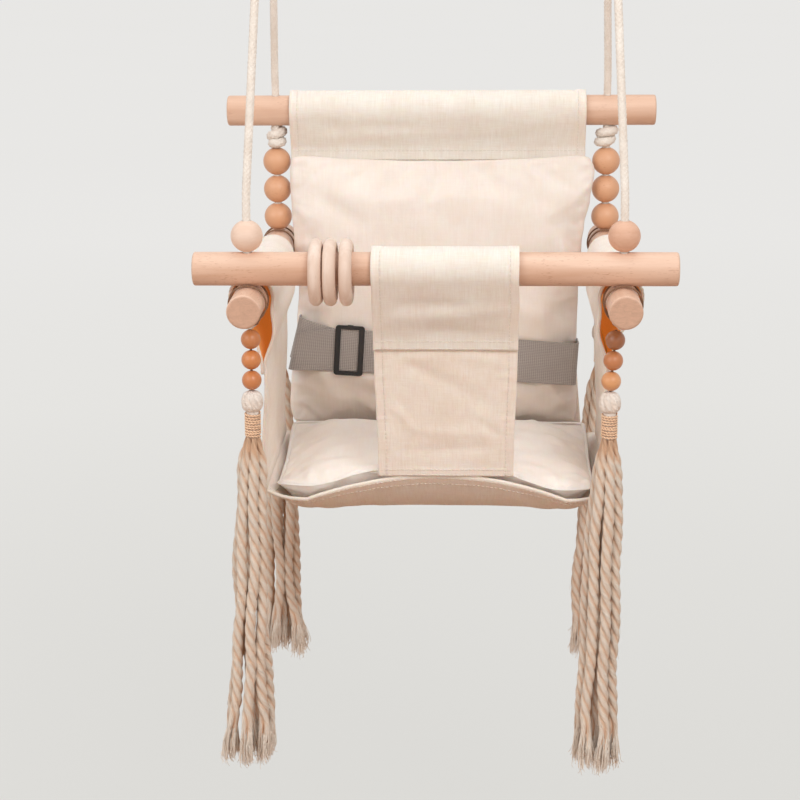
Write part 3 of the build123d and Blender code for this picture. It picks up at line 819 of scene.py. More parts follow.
def make_wrap(corner, seed):
    """Two-ply twine wound round the neck, not quite evenly."""
    centre, extent = middle(f"twine_wrap_{corner}"), size(f"twine_wrap_{corner}")
    reach = extent.x / 2 - TWINE_PLY * 1.6
    tall = extent.z - 4 * TWINE_PLY
    count = TURN_STEPS * WRAP_TURNS
    points = []
    for number in range(count + 1):
        share = number / count
        turn = 2 * pi * WRAP_TURNS * share
        tilt = 0.5 * MM * sin(turn + seed) * ripple(2.2 * share * WRAP_TURNS, seed)
        rise = tall * (0.5 - share) + tilt + 0.35 * MM * ripple(9 * share, seed + 3)
        out = reach + 0.25 * MM * ripple(4 * share * WRAP_TURNS, seed + 6)
        points.append(centre + polar(out, turn, rise))
    fine = resampled(points, TWINE_STEP)
    twine = Yarns()

    # Painted shade on the twine's inner side, next to the neck, given as its depth.
    def groove_shade(vertex, _):
        out = hypot(vertex.x - centre.x, vertex.y - centre.y)
        return min(1.0, max(0.0, (reach + 1.1 * MM - out) / MM))

    for number in range(2):
        line = []
        for index, (point, (_, across, up)) in enumerate(zip(fine, frames_along(fine))):
            turn = pi * number + index * TWINE_STEP * 2 * pi / TWINE_PITCH
            line.append(point + TWINE_OFFSET * (cos(turn) * across + sin(turn) * up))
        twine.add(line, TWINE_PLY, 6, number, groove_shade)
    piece = twine.piece(f"jute_wrap_{corner}", corner, "jute", jute_yarn)
    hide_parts(f"twine_wrap_{corner}")


TASSELS = {  # seed, lobes of the ball and how deep it is parted
    "front_left": (1.3, 9, 0.0), "front_right": (2.9, 8, 0.3), "rear_left": (4.1, 9, 0.12),
    "rear_right": (5.7, 8, 0.0),
}
for corner, (seed, lobes, cleft) in TASSELS.items():
    make_tassel(corner, seed)
    make_head(corner, seed, lobes, cleft)
    make_wrap(corner, seed)


# ---- knots and lashings -------------------------------------------------------------------
BAR_KNOT = (  # the rope's turns under the rear bar, in mm, in a knot 20 mm wide and tall
    (0, 0, 10), (1.0, 1.5, 7.6), (5.6, 2.4, 6.4), (7.4, -2.0, 5.4), (3.0, -6.2, 4.8),
    (-3.4, -5.6, 4.2), (-7.4, -0.4, 2.8), (-3.0, 5.4, 0.8), (3.6, 4.6, -1.4), (5.2, -0.6, -3.0),
    (1.6, -5.4, -4.2), (-4.4, -6.0, -5.0), (-8.4, -1.6, -5.2), (-5.0, 3.4, -5.6), (0.6, 2.0, -7.4),
    (0, 0, -10),
)
STOPPER_KNOT = (  # the rope's turns under the side bar, in mm
    (0, 0, 3.4), (3.6, 1.0, 1.8), (2.6, -4.6, 1.4), (-3.6, -4.2, 1.1), (-4.8, 2.0, 0.6),
    (0.4, 5.0, 0.0), (5.0, 1.6, -0.6), (3.0, -4.4, -1.0), (-3.2, -3.6, -1.2), (-2.0, 0.6, -2.0),
    (0, 0, -3.4),
)


def make_knot(name, node, turns, rope_radius, turn, lift=0.0):
    """A knot in the rope where the model has it, turned about the rope and lifted."""
    centre, extent = middle(node), size(node)
    half = max(abs(z) for _, _, z in turns)
    swing = Matrix.Rotation(radians(turn), 3, "Z")
    centre.z += lift
    stretch = extent.z / MM / 2 / half
    route = [centre + swing @ Vector((x, y, z * stretch)) * MM for x, y, z in turns]
    points = resampled(spline_points(name, route, 24), KNOT_STEP)
    length = KNOT_STEP * (len(points) - 1)

    def weave(share, along, angle):
        taper = 0.7 + 0.3 * smoothstep(0, KNOT_TAPER, min(share, 1 - share) * length)
        return braid(share, along, angle) * rope_radius / (ROPE_DIA / 2) * taper

    verts, faces = tube(points, weave, 30)
    knot = make_piece(name, verts, faces, "seat", "cotton_rope", rope_cotton)
    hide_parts(node)


KNOT_STEP = 0.8 * MM
BAR_KNOT_ROPE = 4.3 * MM  # radius of the rope in the knots
END_KNOT_ROPE = 2.5 * MM
END_KNOT_LIFT = 1.1 * MM
KNOT_TAPER = 3.0 * MM  # length of a knot's thinner ends
LOOP_RADIUS = 16.5 * MM  # of a lashing's control points round the side bar
LOOP_APART = 9 * MM  # each side of the rope's hole
LOOP_TUBE = 0.8 * MM


def make_lashing(corner, side, sign, y):
    """The tassel's waxed cord: over the side bar on each side of the rope, and down to the knot."""
    axis = SIDE_BAR[side]
    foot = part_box(f"stopper_knot_{corner}")[0][2] + 3 * MM
    parts = []
    for way in (-1, 1):
        def leg(out, across, rise):
            return axis.x + out * sign * MM, y + way * across * MM, foot + rise * MM

        route = [leg(-1.5, 2, 0), leg(-8, 5, 1.5)]
        for step in range(9):
            angle = radians(90 + sign * (150 - 300 * step / 8))
            route.append((axis.x + LOOP_RADIUS * cos(angle), y + way * LOOP_APART,
                          axis.z + LOOP_RADIUS * sin(angle)))
        route += [leg(8, 5, 1.5), leg(1.5, 2, 0)]
        parts.append(tube(resampled(spline_points("lashing", route, 10), MM), LOOP_TUBE, 8))
    verts, faces = joined(parts)
    make_piece(f"waxed_lashing_{corner}", verts, faces, "seat", "bead_cord", waxed_cord)


for side, sign in SIDES.items():
    make_knot(f"rope_knot_{side}", f"bar_knot_{side}", BAR_KNOT, BAR_KNOT_ROPE,
              0 if sign > 0 else 78)
    for end, y in (("front", FRONT_Y), ("rear", REAR_Y)):
        make_knot(f"end_knot_{end}_{side}", f"stopper_knot_{end}_{side}", STOPPER_KNOT,
                  END_KNOT_ROPE, 0 if sign > 0 else 140, END_KNOT_LIFT)
        make_lashing(f"{end}_{side}", side, sign, y)
        dress(f"bead_cord_{end}_{side}", waxed_cord)


# ---- cloth --------------------------------------------------------------------------------
WEAVE = 1.1 * MM  # one thread and its gap
PAINTED_GLOW = (1.0, 0.46, 0.08, 1.0)  # painted light: emission colour that stands in for daylight through a lining
THROUGH = (1.0, 0.5, 0.28)  # how far red, green and blue go in cotton


def woven(name, light, dark, plane=None, slub=1.0, wrinkle=0.35, painted_glow=0.0):
    """Plain woven cotton: threads both ways, thick and thin yarn, soft mottling.

    The threads run with the UV map, or with the object's own axes in a plane, XZ or XY.
    """
    m = new_material(name)
    if plane:
        turn = (radians(90), 0, 0) if plane == "XZ" else (0, 0, 0)
        here = m.add("ShaderNodeMapping", {0: m.objects(), 2: turn}).outputs[0]
    else:
        here = m.uv("cloth")
    split = m.split(here)
    weave = m.math("MULTIPLY", m.wave(split[0], WEAVE), m.wave(split[1], WEAVE))
    warp = m.noise(m.scaled(here, (1500, 60, 60)), 1.0, 2.0, 0.6)
    weft = m.noise(m.scaled(here, (60, 1500, 60)), 1.0, 2.0, 0.6)
    coarse = m.noise(m.scaled(here, (500, 45, 45)), 1.0, 2.0)
    cloud = m.noise(here, 28.0, 4.0, 0.6)
    yarns = m.total((warp, 0.55), (weft, 0.45))
    tone = m.total((yarns, 0.6 * slub), (cloud, 0.35), (coarse, 0.2))
    threads = m.math("MULTIPLY_ADD", weave, 0.05, tone)
    colour = m.mix(m.ramp(threads, (0.36, 0.0), (0.76, 1.0)), dark, light)
    creases = m.noise(here, 90.0, 3.0, 0.6, 0.6)
    fine = m.bump(m.total((weave, 0.5), (yarns, 1.0)), 0.35, 0.00035)
    return m.surface(colour, 0.88, m.bump(creases, wrinkle, 0.0012, fine), Sheen_Weight=0.12,
                     Sheen_Roughness=0.5, Subsurface_Weight=0.3, Subsurface_Radius=THROUGH,
                     # Painted light: the emission strength given sets a glow that stands in for
                     # light through the cloth.
                     Subsurface_Scale=5 * MM, Emission_Color=PAINTED_GLOW, Emission_Strength=painted_glow)


canvas_cloth = woven("canvas_cloth", linear(251, 242, 233), linear(232, 213, 198))
# Painted light: the sleeves' inside is coloured orange and made to glow, standing in for daylight
# through the cloth.
sleeve_inside_painted_glow = woven("sleeve_inside_painted_glow", linear(238, 172, 92), linear(214, 140, 62), painted_glow=0.14)
pad_back_cloth = woven("pad_back_cloth", linear(249, 242, 236), linear(238, 225, 214), "XZ",
                       0.6, 0.25)
# Painted light: the seat cushion's cloth is the pad cloth made lighter than the back cushion's,
# making up for the shade it sits in.
pad_seat_cloth_lightened = woven("pad_seat_cloth_lightened", linear(255, 250, 245), linear(248, 237, 228), "XY",
                       0.6, 0.25)


def make_thread():
    """Sewing thread."""
    m = new_material("thread")
    lay = m.noise(m.place(3000), 1.0, 1.0)
    return m.surface(m.mix(lay, linear(214, 198, 182), linear(244, 234, 222)), 0.6)


thread = make_thread()


class Cloth:
    """A sheet with its own thickness; place(x, s) is its middle, x across and s along."""

    def __init__(self, place, half_thick, columns, rows):
        self.place = place
        self.half_thick = half_thick
        self.columns = columns
        self.rows = rows

    def skin(self, x, s, lift, face):
        """A point lifted off one face (1 or -1)."""
        step = 0.6 * MM
        across = self.place(x + step, s) - self.place(x - step, s)
        along = self.place(x, s + step) - self.place(x, s - step)
        out = across.cross(along).normalized()
        return self.place(x, s) + face * out * (self.half_thick(x, s) + lift)

    def mesh(self):
        """Vertices, faces and flat UVs of both faces and the rim."""
        columns, rows = self.columns, self.rows
        grid = [[self.place(x, s) for x in columns] for s in rows]
        last_row, last_column = len(rows) - 1, len(columns) - 1
        fronts, backs, uvs = [], [], []
        for i, s in enumerate(rows):
            above, below = grid[max(i - 1, 0)], grid[min(i + 1, last_row)]
            for j, x in enumerate(columns):
                across = grid[i][min(j + 1, last_column)] - grid[i][max(j - 1, 0)]
                out = across.cross(below[j] - above[j]).normalized() * self.half_thick(x, s)
                fronts.append(grid[i][j] + out)
                backs.append(grid[i][j] - out)
                uvs.append((x, s))
        wide, count = len(columns), len(fronts)
        faces = []
        for row in range(last_row):
            for a in range(row * wide, row * wide + last_column):
                quad = (a, a + 1, a + wide + 1, a + wide)
                faces += [quad, tuple(count + v for v in quad[::-1])]
        rim = [*range(wide), *(row * wide + last_column for row in range(1, len(rows))),
               *(last_row * wide + column for column in range(last_column - 1, -1, -1)),
               *(row * wide for row in range(last_row - 1, 0, -1))]
        for a, b in zip(rim, rim[1:] + rim[:1]):
            faces.append((b, a, count + a, count + b))
        return fronts + backs, faces, uvs + uvs

    def piece(self, name, slot, material):
        """The sheet as an object that rides on the seat."""
        verts, faces, uvs = self.mesh()
        return make_piece(name, verts, faces, "seat", slot, material, uvs)


FINE_STEP = 0.8 * MM
FINE_REACH = 1.7 * MM


def stations(low, high, step, fine=()):
    """Places from low to high, closer together near the fine ones."""
    places = [low]
    while high - places[-1] > 0.3 * FINE_STEP:
        here = places[-1]
        near = any(abs(here - f) < FINE_REACH for f in fine)
        ahead = [f - FINE_REACH - here for f in fine if f - FINE_REACH > here + 0.3 * FINE_STEP]
        places.append(min(here + (FINE_STEP if near else min([step, *ahead])), high))
    return places


STITCH_PITCH = 3.8 * MM
STITCH_LENGTH = 2.6 * MM
STITCH_RADIUS = 0.34 * MM
STITCH_ARCH = ((0.0, -0.4), (0.2, 0.4), (0.5, 0.65), (0.8, 0.4), (1.0, -0.4))  # share and lift
EDGE_IN = 2 * MM  # from a cloth's edge to where its lines of stitches end


def stitches(name, cloth, lines, face):
    """Rows of short stitches on one face of a cloth; each line is a list of (x, s)."""
    parts = []
    for line in lines:
        spots = resampled([Vector((x, s, 0)) for x, s in line], STITCH_PITCH)
        for before, after in zip(spots, spots[1:]):
            way = (after - before).normalized()
            points = []
            for share, lift in STITCH_ARCH:
                spot = before + way * (STITCH_LENGTH * share)
                points.append(cloth.skin(spot.x, spot.y, lift * STITCH_RADIUS, face))
            parts.append(tube(points, STITCH_RADIUS, 5))
    verts, faces = joined(parts)
    return make_piece(name, verts, faces, "seat", "canvas", thread)


def lines_along(places, low, high):
    """Lines of stitches along a cloth, one at each place across it."""
    return [[(x, low), (x, high)] for x in places]


def lines_across(width, levels):
    """Lines of stitches across a cloth, one at each level."""
    return [[(EDGE_IN, s), (width - EDGE_IN, s)] for s in levels]


def folds(x, s, seed, height):
    """Soft unevenness of hanging cloth."""
    return height * (0.55 * ripple(9 * x, 7 * s, seed) + 0.28 * ripple(26 * x, 21 * s, seed + 3)
                     + 0.12 * ripple(75 * x, 62 * s, seed + 7))


def crease(x, s, start, end, width, depth):
    """A ridge (or a valley, with a depth under 0) from start to end, in millimetres."""
    run = (Vector(end) - Vector(start)) * MM
    here = Vector((x, s)) - Vector(start) * MM
    share = here.dot(run) / run.length_squared
    if not -0.2 < share < 1.2:
        return 0.0
    share = min(1.0, max(0.0, share))
    fade = sin(pi * share) ** 0.6
    return depth * MM * fade * exp(-(((here - run * share).length / (width * MM)) ** 2))


def creases(x, s, table):
    """The sum of a table's creases."""
    return sum(crease(x, s, *line) for line in table)


def pucker(x, s, seam, reach, height, seed, across=0.0, along=330.0):
    """Small ripples beside a seam, which is at a distance; they run square to it."""
    near = exp(-((seam / reach) ** 2))
    if near < 0.02:
        return 0.0
    return height * near * (ripple(across * x, along * s, seed)
                            + 0.5 * ripple(2 * across * x, 2.1 * along * s, seed + 2))


SLEEVE_RADIUS = BAR_RADIUS + 4.2 * MM  # to the cloth's middle
SLEEVE_SINK = 0.2 * MM
CLOTH_HALF = 0.85 * MM
HEM = 8.5 * MM
HEM_EXTRA = 0.4 * MM
HEM_STITCH = HEM - 1.2 * MM
FOOT_HEM = 8 * MM


def sleeve_line(seam, foot, flap):
    """Path of a sleeve cloth as (depth, height) round the sleeve's middle.

    It starts at the flap's free edge in front, goes over the bar, down behind, through the seam
    and on down the panel to its foot.
    """
    gap = 2.2 * MM
    lean = asin(SLEEVE_RADIUS / seam)
    points = [(-gap, -seam - flap), (-gap, -seam + 2 * MM)]
    for number in range(25):
        angle = pi + lean - number / 24 * (pi + 2 * lean)
        points.append((SLEEVE_RADIUS * cos(angle), SLEEVE_RADIUS * sin(angle)))
    points += [(0.3 * MM, -seam + 2 * MM), (0, -seam - flap), (0, -foot)]
    line = resampled([Vector((a, b, 0)) for a, b in points], MM)
    for _ in range(8):
        line = ([line[0]] + [(a + 2 * b + c) / 4 for a, b, c in zip(line, line[1:], line[2:])]
                + [line[-1]])
    return resampled(line, MM)


def follow(line, s):
    """The point at a distance along a line with a point at every millimetre."""
    place = min(max(s / MM, 0.0), len(line) - 1.001)
    index = int(place)
    return line[index].lerp(line[index + 1], place - index)


def hem_step(value, hem):
    """0 under a hem's edge and 1 over it."""
    return smoothstep(hem - 0.7 * MM, hem + 0.7 * MM, value)


class SleeveCloth(Cloth):
    """A cloth with a sleeve on a bar, which hangs down as a panel."""

    def __init__(self, origin, across, up, width, seam, foot, flap, step, push, shift,
                 sway=lambda spot: 0.0):
        line = sleeve_line(seam, foot, flap)
        depth = up.cross(across)
        self.width, self.flap = width, flap
        self.length = length = (len(line) - 1) * MM
        self.seam_s = length - (foot - seam)
        self.top_s = flap + seam + 0.5 * pi * SLEEVE_RADIUS * 0.9

        def place(x, s):
            spot = follow(line, s)
            below = s - self.seam_s
            loose = 1 - bump(s, self.top_s, 26 * MM)
            deep = spot.x + sway(spot) - push(x, s, below) * loose
            return origin + across * shift(x, below) + depth * deep + up * spot.y

        def thick(x, s):
            extra = 1 - hem_step(min(x, width - x), HEM)
            return CLOTH_HALF + HEM_EXTRA * max(extra, hem_step(s, length - FOOT_HEM))

        super().__init__(place, thick, stations(0, width, step, (HEM, width - HEM)),
                         stations(0, length, step, (length - FOOT_HEM,)))

    def hang(self, name, node, bar):
        """The cloth and its stitches as pieces; the name has a gap for which of them it is."""
        panel = self.piece(name.format("cloth"), "canvas", canvas_cloth)
        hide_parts(node)
        width, length, flap = self.width, self.length, self.flap
        sides = (HEM_STITCH, width - HEM_STITCH)
        front = (lines_along(sides, EDGE_IN, self.top_s)
                 + lines_across(width, (1.6 * MM, flap - 1.2 * MM)))
        behind = (lines_along(sides, self.seam_s + flap, length - EDGE_IN)
                  + lines_across(width, (length - 1.8 * MM, length - FOOT_HEM + 1.2 * MM)))
        trim = [stitches(name.format("stitches") + "_sleeve", self, front, 1),
                stitches(name.format("stitches") + "_panel", self, behind, -1)]
        return panel


# The front cloth between the legs.
CROTCH_WIDTH = 121.5 * MM
CROTCH_MIDDLE = 8.5 * MM
CROTCH_SEAM = 62 * MM
CROTCH_FLAP = 9.5 * MM
CROTCH_FOOT_IN = 29.5 * MM
CROTCH_CREASES = (  # start, end, width and depth in mm; along is measured from the seam
    ((12, 14), (72, 46), 6.5, -1.7), ((60, 38), (106, 66), 9, -1.0), ((14, 60), (36, 86), 4, 1.4),
    ((24, 84), (104, 88), 6, 1.0), ((12, 104), (108, 100), 5, -0.9), ((14, 20), (60, 14), 5, 0.8),
    ((70, 12), (112, 22), 5, 0.9), ((84, 72), (114, 92), 4, -0.8),
)
FLANK_CREASES = (  # along is measured from the flap's free edge
    ((6, 30), (116, 40), 8, 1.5), ((18, 48), (84, 44), 7, -1.2), ((30, 20), (108, 17), 5, -0.8),
)


def make_crotch():
    low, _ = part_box("crotch_panel")
    rise = FRONT_BAR.z - SLEEVE_SINK - low[2] - 1.0 * MM
    lean = atan2(CROTCH_FOOT_IN, rise)
    half = CROTCH_WIDTH / 2

    def push(x, s, below):
        edge = min(x, CROTCH_WIDTH - x)
        panel = smoothstep(-4 * MM, 30 * MM, below)
        out = folds(x, s, 4.0, 2.0 * MM) * max(panel, 0.35)
        out += pucker(x, s, edge - 0.7 * HEM, 7 * MM, 0.8 * MM, 9.0) * (0.3 + 0.7 * panel)
        out += pucker(x, s, min(abs(below), abs(s - 5 * MM)), 7 * MM, 0.5 * MM, 5.0, 260.0, 30.0)
        if below > 0:
            out += creases(x, below, CROTCH_CREASES)
        if s < 80 * MM:
            out += creases(x, s, FLANK_CREASES)
        return out

    def shift(x, below):
        taper = 1.0 - 0.045 * smoothstep(0, 0.12, below)
        waver = 0.8 * MM * ripple(0, 30 * below, 3.0 if x < half else 8.0)
        return (x - half) * taper + half + waver

    origin = Vector((CROTCH_MIDDLE - half, FRONT_Y, FRONT_BAR.z - SLEEVE_SINK))
    made = SleeveCloth(origin, Vector((1, 0, 0)), Vector((0, -sin(lean), cos(lean))), CROTCH_WIDTH,
                       CROTCH_SEAM, rise / cos(lean), CROTCH_FLAP, 1.8 * MM, push, shift)
    made.hang("crotch_{}", "crotch_panel", "front_bar")


# The back cloth, with its sleeve on the rear bar.
BACK_WIDTH = 276 * MM
BACK_MIDDLE = -3 * MM
BACK_WAIST = 8 * MM
BACK_SEAM = 36 * MM
BACK_FLAP = 11 * MM
BACK_FOOT_Y = -22 * MM
BACK_FOOT_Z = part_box("canvas_back")[0][2]
BACK_LEAN = atan2(-BACK_FOOT_Y, REAR_BAR.z - BACK_FOOT_Z)
BACK_CREASES = (  # as the flank's
    ((20, 24), (150, 30), 6, 1.0), ((120, 20), (250, 25), 5, -1.0), ((60, 38), (140, 34), 5, -0.8),
    ((180, 36), (260, 40), 6, 0.9), ((8, 46), (60, 30), 5, -0.7),
)


def make_back_cloth():
    rise = REAR_BAR.z - SLEEVE_SINK - BACK_FOOT_Z
    half = BACK_WIDTH / 2

    def push(x, s, below):
        edge = min(x, BACK_WIDTH - x)
        out = folds(x, s, 14.0, 1.6 * MM) * (0.45 if below < 0 else 0.3)
        out += pucker(x, s, edge - 0.7 * HEM, 7 * MM, 0.5 * MM, 19.0)
        out += pucker(x, s, min(abs(below), abs(s - 5 * MM)), 8 * MM, 0.55 * MM, 15.0, 240.0, 30.0)
        if s < 60 * MM:
            out += creases(x, s, BACK_CREASES)
        return out

    def shift(x, below):
        share = min(max(below / (rise - BACK_SEAM), 0.0), 1.0)
        return (x - half) * (1 - BACK_WAIST / half * sin(pi * share)) + half

    origin = Vector((BACK_MIDDLE - half, REAR_Y, REAR_BAR.z - SLEEVE_SINK))
    made = SleeveCloth(origin, Vector((1, 0, 0)), Vector((0, sin(BACK_LEAN), cos(BACK_LEAN))),
                       BACK_WIDTH, BACK_SEAM, rise / cos(BACK_LEAN), BACK_FLAP, 2.4 * MM, push,
                       shift)
    made.hang("back_{}", "canvas_back", "rear_bar")


# The two side cloths, each with a sleeve on its side bar.
SIDE_SEAM = 57 * MM
SIDE_FLAP = 10 * MM
SIDE_FRONT_Y = FRONT_Y + 20 * MM
SIDE_LENGTH = 188 * MM
SIDE_FOOT_IN = 7 * MM
SEAT_EDGE_Z = FRONT_BAR.z - 200 * MM
SIDE_CREASES = (  # as the crotch cloth's, measured from the front edge
    ((14, 20), (80, 110), 9, 1.6), ((176, 18), (120, 105), 9, 1.4), ((60, 12), (96, 70), 7, -1.2),
)


def make_side_cloth(side, sign):
    rise = SIDE_BAR[side].z - SLEEVE_SINK - SEAT_EDGE_Z
    lean = atan2(SIDE_FOOT_IN, rise)

    def push(x, s, below):
        along = x if sign > 0 else SIDE_LENGTH - x
        edge = min(x, SIDE_LENGTH - x)
        out = folds(along, s, 24.0 + 6 * sign, 2.2 * MM) * (0.4 if below < 0 else 1.0)
        out += pucker(x, s, edge - 0.7 * HEM, 7 * MM, 0.6 * MM, 29.0 + sign)
        out += pucker(x, s, min(abs(below), abs(s - 5 * MM)), 8 * MM, 0.6 * MM, 25.0, 240.0, 30.0)
        if below > 0:
            out += creases(along, below, SIDE_CREASES)
        return out

    def shift(x, below):
        return x + 1.0 * MM * ripple(0, 26 * below, 3.0 if x < SIDE_LENGTH / 2 else 8.0)

    def sway(spot):
        """The panel bulges out under its seam, where the back cushion presses on it."""
        seam = smoothstep(4 * MM, 48 * MM, -spot.y) * (1 - smoothstep(62 * MM, 160 * MM, -spot.y))
        return 7.5 * MM * seam + 3.6 * MM * bump(-spot.y, 30 * MM, 15 * MM)

    start = SIDE_FRONT_Y if sign > 0 else SIDE_FRONT_Y + SIDE_LENGTH
    origin = Vector((sign * SIDE_X, start, SIDE_BAR[side].z - SLEEVE_SINK))
    made = SleeveCloth(origin, Vector((0, sign, 0)), Vector((sign * sin(lean), 0, cos(lean))),
                       SIDE_LENGTH, SIDE_SEAM, rise / cos(lean), SIDE_FLAP, 2.2 * MM, push, shift,
                       sway)
    panel = made.hang("side_{}_" + side, f"canvas_side_{side}", f"side_bar_{side}")
    # The sleeve's inner faces take the orange, glowing lining, which is painted light through the
    # cloth.
    panel.data.materials.append(sleeve_inside_painted_glow)
    wide = len(made.columns) - 1
    for number in range(2 * wide * (len(made.rows) - 1)):
        inside = number % 2 == 1 and SIDE_FLAP < made.rows[number // 2 // wide] < made.seam_s
        panel.data.polygons[number].material_index = int(inside)


# The seat cloth, a hammock between the side cloths.
SEAT_HEM_Y = FRONT_Y + 31 * MM
SEAT_LENGTH = 207 * MM
SEAT_HALF = 149.2 * MM
SEAT_DIP_X = 112 * MM
SEAT_MIDDLE_DROP = 186 * MM
SEAT_DIP_DROP = 208 * MM
SEAT_SAG_DROP = 236 * MM
SEAT_BACK_DROP = 208 * MM
SEAT_EDGE_DROP = 200 * MM
SEAT_FRONT_RUN = 95 * MM
SEAT_BACK_RUN = 97 * MM
SEAT_EDGE_RISE = 0.8 * MM
SEAT_BULGE = 2.38  # how late the side edges rise out of the dips
SEAT_CREASES = (  # on both sides: across from the middle, and back
    ((56, 3), (112, 60), 8, -1.4), ((50, 4), (70, 90), 7, 1.0), ((140, 6), (90, 80), 9, 1.2),
)


def seat_top(x, behind):
    """Height of the seat cloth's upper face."""
    behind = min(max(behind, 0.0), SEAT_LENGTH)
    front = max(0.0, 1 - behind / SEAT_FRONT_RUN) ** 2.5
    back = max(0.0, 1 - (SEAT_LENGTH - behind) / SEAT_BACK_RUN) ** 2.5
    rise = (SEAT_SAG_DROP - SEAT_BACK_DROP) * back
    dip = SEAT_SAG_DROP - (SEAT_SAG_DROP - SEAT_DIP_DROP) * front - rise
    centre = SEAT_SAG_DROP - (SEAT_SAG_DROP - SEAT_MIDDLE_DROP) * front - rise
    edge = SEAT_EDGE_DROP + (SEAT_BACK_DROP - SEAT_EDGE_RISE - SEAT_EDGE_DROP) * back
    out = abs(x)
    if out < SEAT_DIP_X:
        return FRONT_BAR.z - centre - (dip - centre) * (out / SEAT_DIP_X) ** 2
    share = (out - SEAT_DIP_X) / (SEAT_HALF - SEAT_DIP_X)
    return FRONT_BAR.z - dip - (edge - dip) * share ** SEAT_BULGE


def make_seat_cloth():
    width = 2 * SEAT_HALF

    def place(x, s):
        across = x - SEAT_HALF
        edge = min(x, width - x)
        push = folds(across, s, 44.0, 1.8 * MM) * smoothstep(0, 30 * MM, edge)
        push += pucker(x, s, s - 0.7 * HEM, 7 * MM, 0.5 * MM, 49.0, 300.0, 20.0)
        push += pucker(x, s, edge - 4 * MM, 7 * MM, 0.6 * MM, 43.0)
        push += creases(-across, s, SEAT_CREASES) + creases(across, s, SEAT_CREASES)
        height = seat_top(across, s) - 1.3 * MM + min(push, 0.4 * MM)
        return Vector((across, SEAT_HEM_Y + s, height))

    def thick(x, s):
        return CLOTH_HALF + HEM_EXTRA * (1 - hem_step(min(x, width - x, s), HEM))

    cloth = Cloth(place, thick, stations(0, width, 2.4 * MM, (HEM, width - HEM)),
                  stations(0, SEAT_LENGTH, 2.4 * MM, (HEM,)))
    seat = cloth.piece("seat_cloth", "canvas", canvas_cloth)
    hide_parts("canvas_seat")
    lines = (lines_across(width, (HEM_STITCH, 1.8 * MM))
             + lines_along((HEM_STITCH, width - HEM_STITCH), EDGE_IN, SEAT_LENGTH - EDGE_IN))
    trim = [stitches("seat_stitches", cloth, lines, 1),
            stitches("seat_stitches_under", cloth, lines, -1)]


make_crotch()
make_back_cloth()
for side, sign in SIDES.items():
    make_side_cloth(side, sign)
make_seat_cloth()


# ---- pads ---------------------------------------------------------------------------------
SQUARENESS = 26  # of a pad's outline, as the power of its superellipse
PAD_CELLS = 84


def reach_of(x, v):
    """0 in a pad's middle and 1 on its outline, for x and v from -1 to 1."""
    return (abs(x) ** SQUARENESS + abs(v) ** SQUARENESS) ** (1 / SQUARENESS)


def pillow(half_wide, half_long, top, bottom, seam):
    """A pillow in its own flat space; top, bottom and seam give heights at (x, v)."""
    cells = PAD_CELLS
    verts, faces, at = [], [], {}
    for side, height in enumerate((top, bottom)):
        for row in range(cells + 1):
            for column in range(cells + 1):
                a, b = 2 * column / cells - 1, 2 * row / cells - 1
                share = max(abs(a), abs(b))
                if side and share == 1:
                    at[column, row, 1] = at[column, row, 0]
                    continue
                scale = share / reach_of(a, b) if share else 0.0
                x, v = a * scale * half_wide, b * scale * half_long
                edge = seam(x, v)
                at[column, row, side] = len(verts)
                verts.append((x, v, edge + (height(x, v) - edge) * sqrt(1 - share ** 7)))
    for side in (0, 1):
        for row in range(cells):
            for column in range(cells):
                quad = (at[column, row, side], at[column + 1, row, side],
                        at[column + 1, row + 1, side], at[column, row + 1, side])
                faces.append(quad[::-1] if side else quad)
    return verts, faces


CLOTH_SETTINGS = {
    "quality": 6, "mass": 0.25, "tension_stiffness": 12, "compression_stiffness": 12,
    "shear_stiffness": 4, "bending_stiffness": 0.25, "shrink_min": -0.03, "shrink_max": -0.03,
    "use_pressure": True, "vertex_group_mass": "seam",
}
PUFF_FRAMES = 20
PUFF_MOST = 8 * MM
PINNED_FROM = 0.99  # of the way from a pad's middle to its outline


def inflate(piece, pinned, pressure):
    """Puffs a piece up by cloth simulation; pinned(co) says what the seam holds."""
    vertices, scene = piece.data.vertices, bpy.context.scene
    group = piece.vertex_groups.new(name="seam")
    group.add([v.index for v in vertices if pinned(v.co)], 1.0, "REPLACE")
    cloth = piece.modifiers.new("cloth", "CLOTH")
    for key, value in CLOTH_SETTINGS.items():
        setattr(cloth.settings, key, value)
    cloth.settings.uniform_pressure_force = pressure
    cloth.settings.effector_weights.gravity = 0
    cloth.point_cache.frame_start = 1
    cloth.point_cache.frame_end = PUFF_FRAMES
    for number in range(1, PUFF_FRAMES + 1):
        scene.frame_set(number)
    graph = bpy.context.evaluated_depsgraph_get()
    graph.update()
    puffed = bpy.data.meshes.new_from_object(piece.evaluated_get(graph))
    for vertex, after in zip(vertices, puffed.vertices):
        move = after.co - vertex.co
        if move.length > PUFF_MOST:
            move *= PUFF_MOST / move.length
        vertex.co = vertex.co + move
    bpy.data.meshes.remove(puffed)
    piece.modifiers.clear()
    piece.vertex_groups.clear()
    scene.frame_set(1)


def smooth_mesh(mesh, pinned):
    """Evens out a mesh by moving each free vertex halfway to its neighbours' middle, twice."""
    for _ in range(2):
        total = [Vector() for _ in mesh.vertices]
        count = [0] * len(mesh.vertices)
        for edge in mesh.edges:
            a, b = edge.vertices
            total[a] += mesh.vertices[b].co
            total[b] += mesh.vertices[a].co
            count[a] += 1
            count[b] += 1
        for vertex, sum_of, number in zip(mesh.vertices, total, count):
            if not pinned(vertex.co):
                vertex.co = vertex.co.lerp(sum_of / number, 0.5)


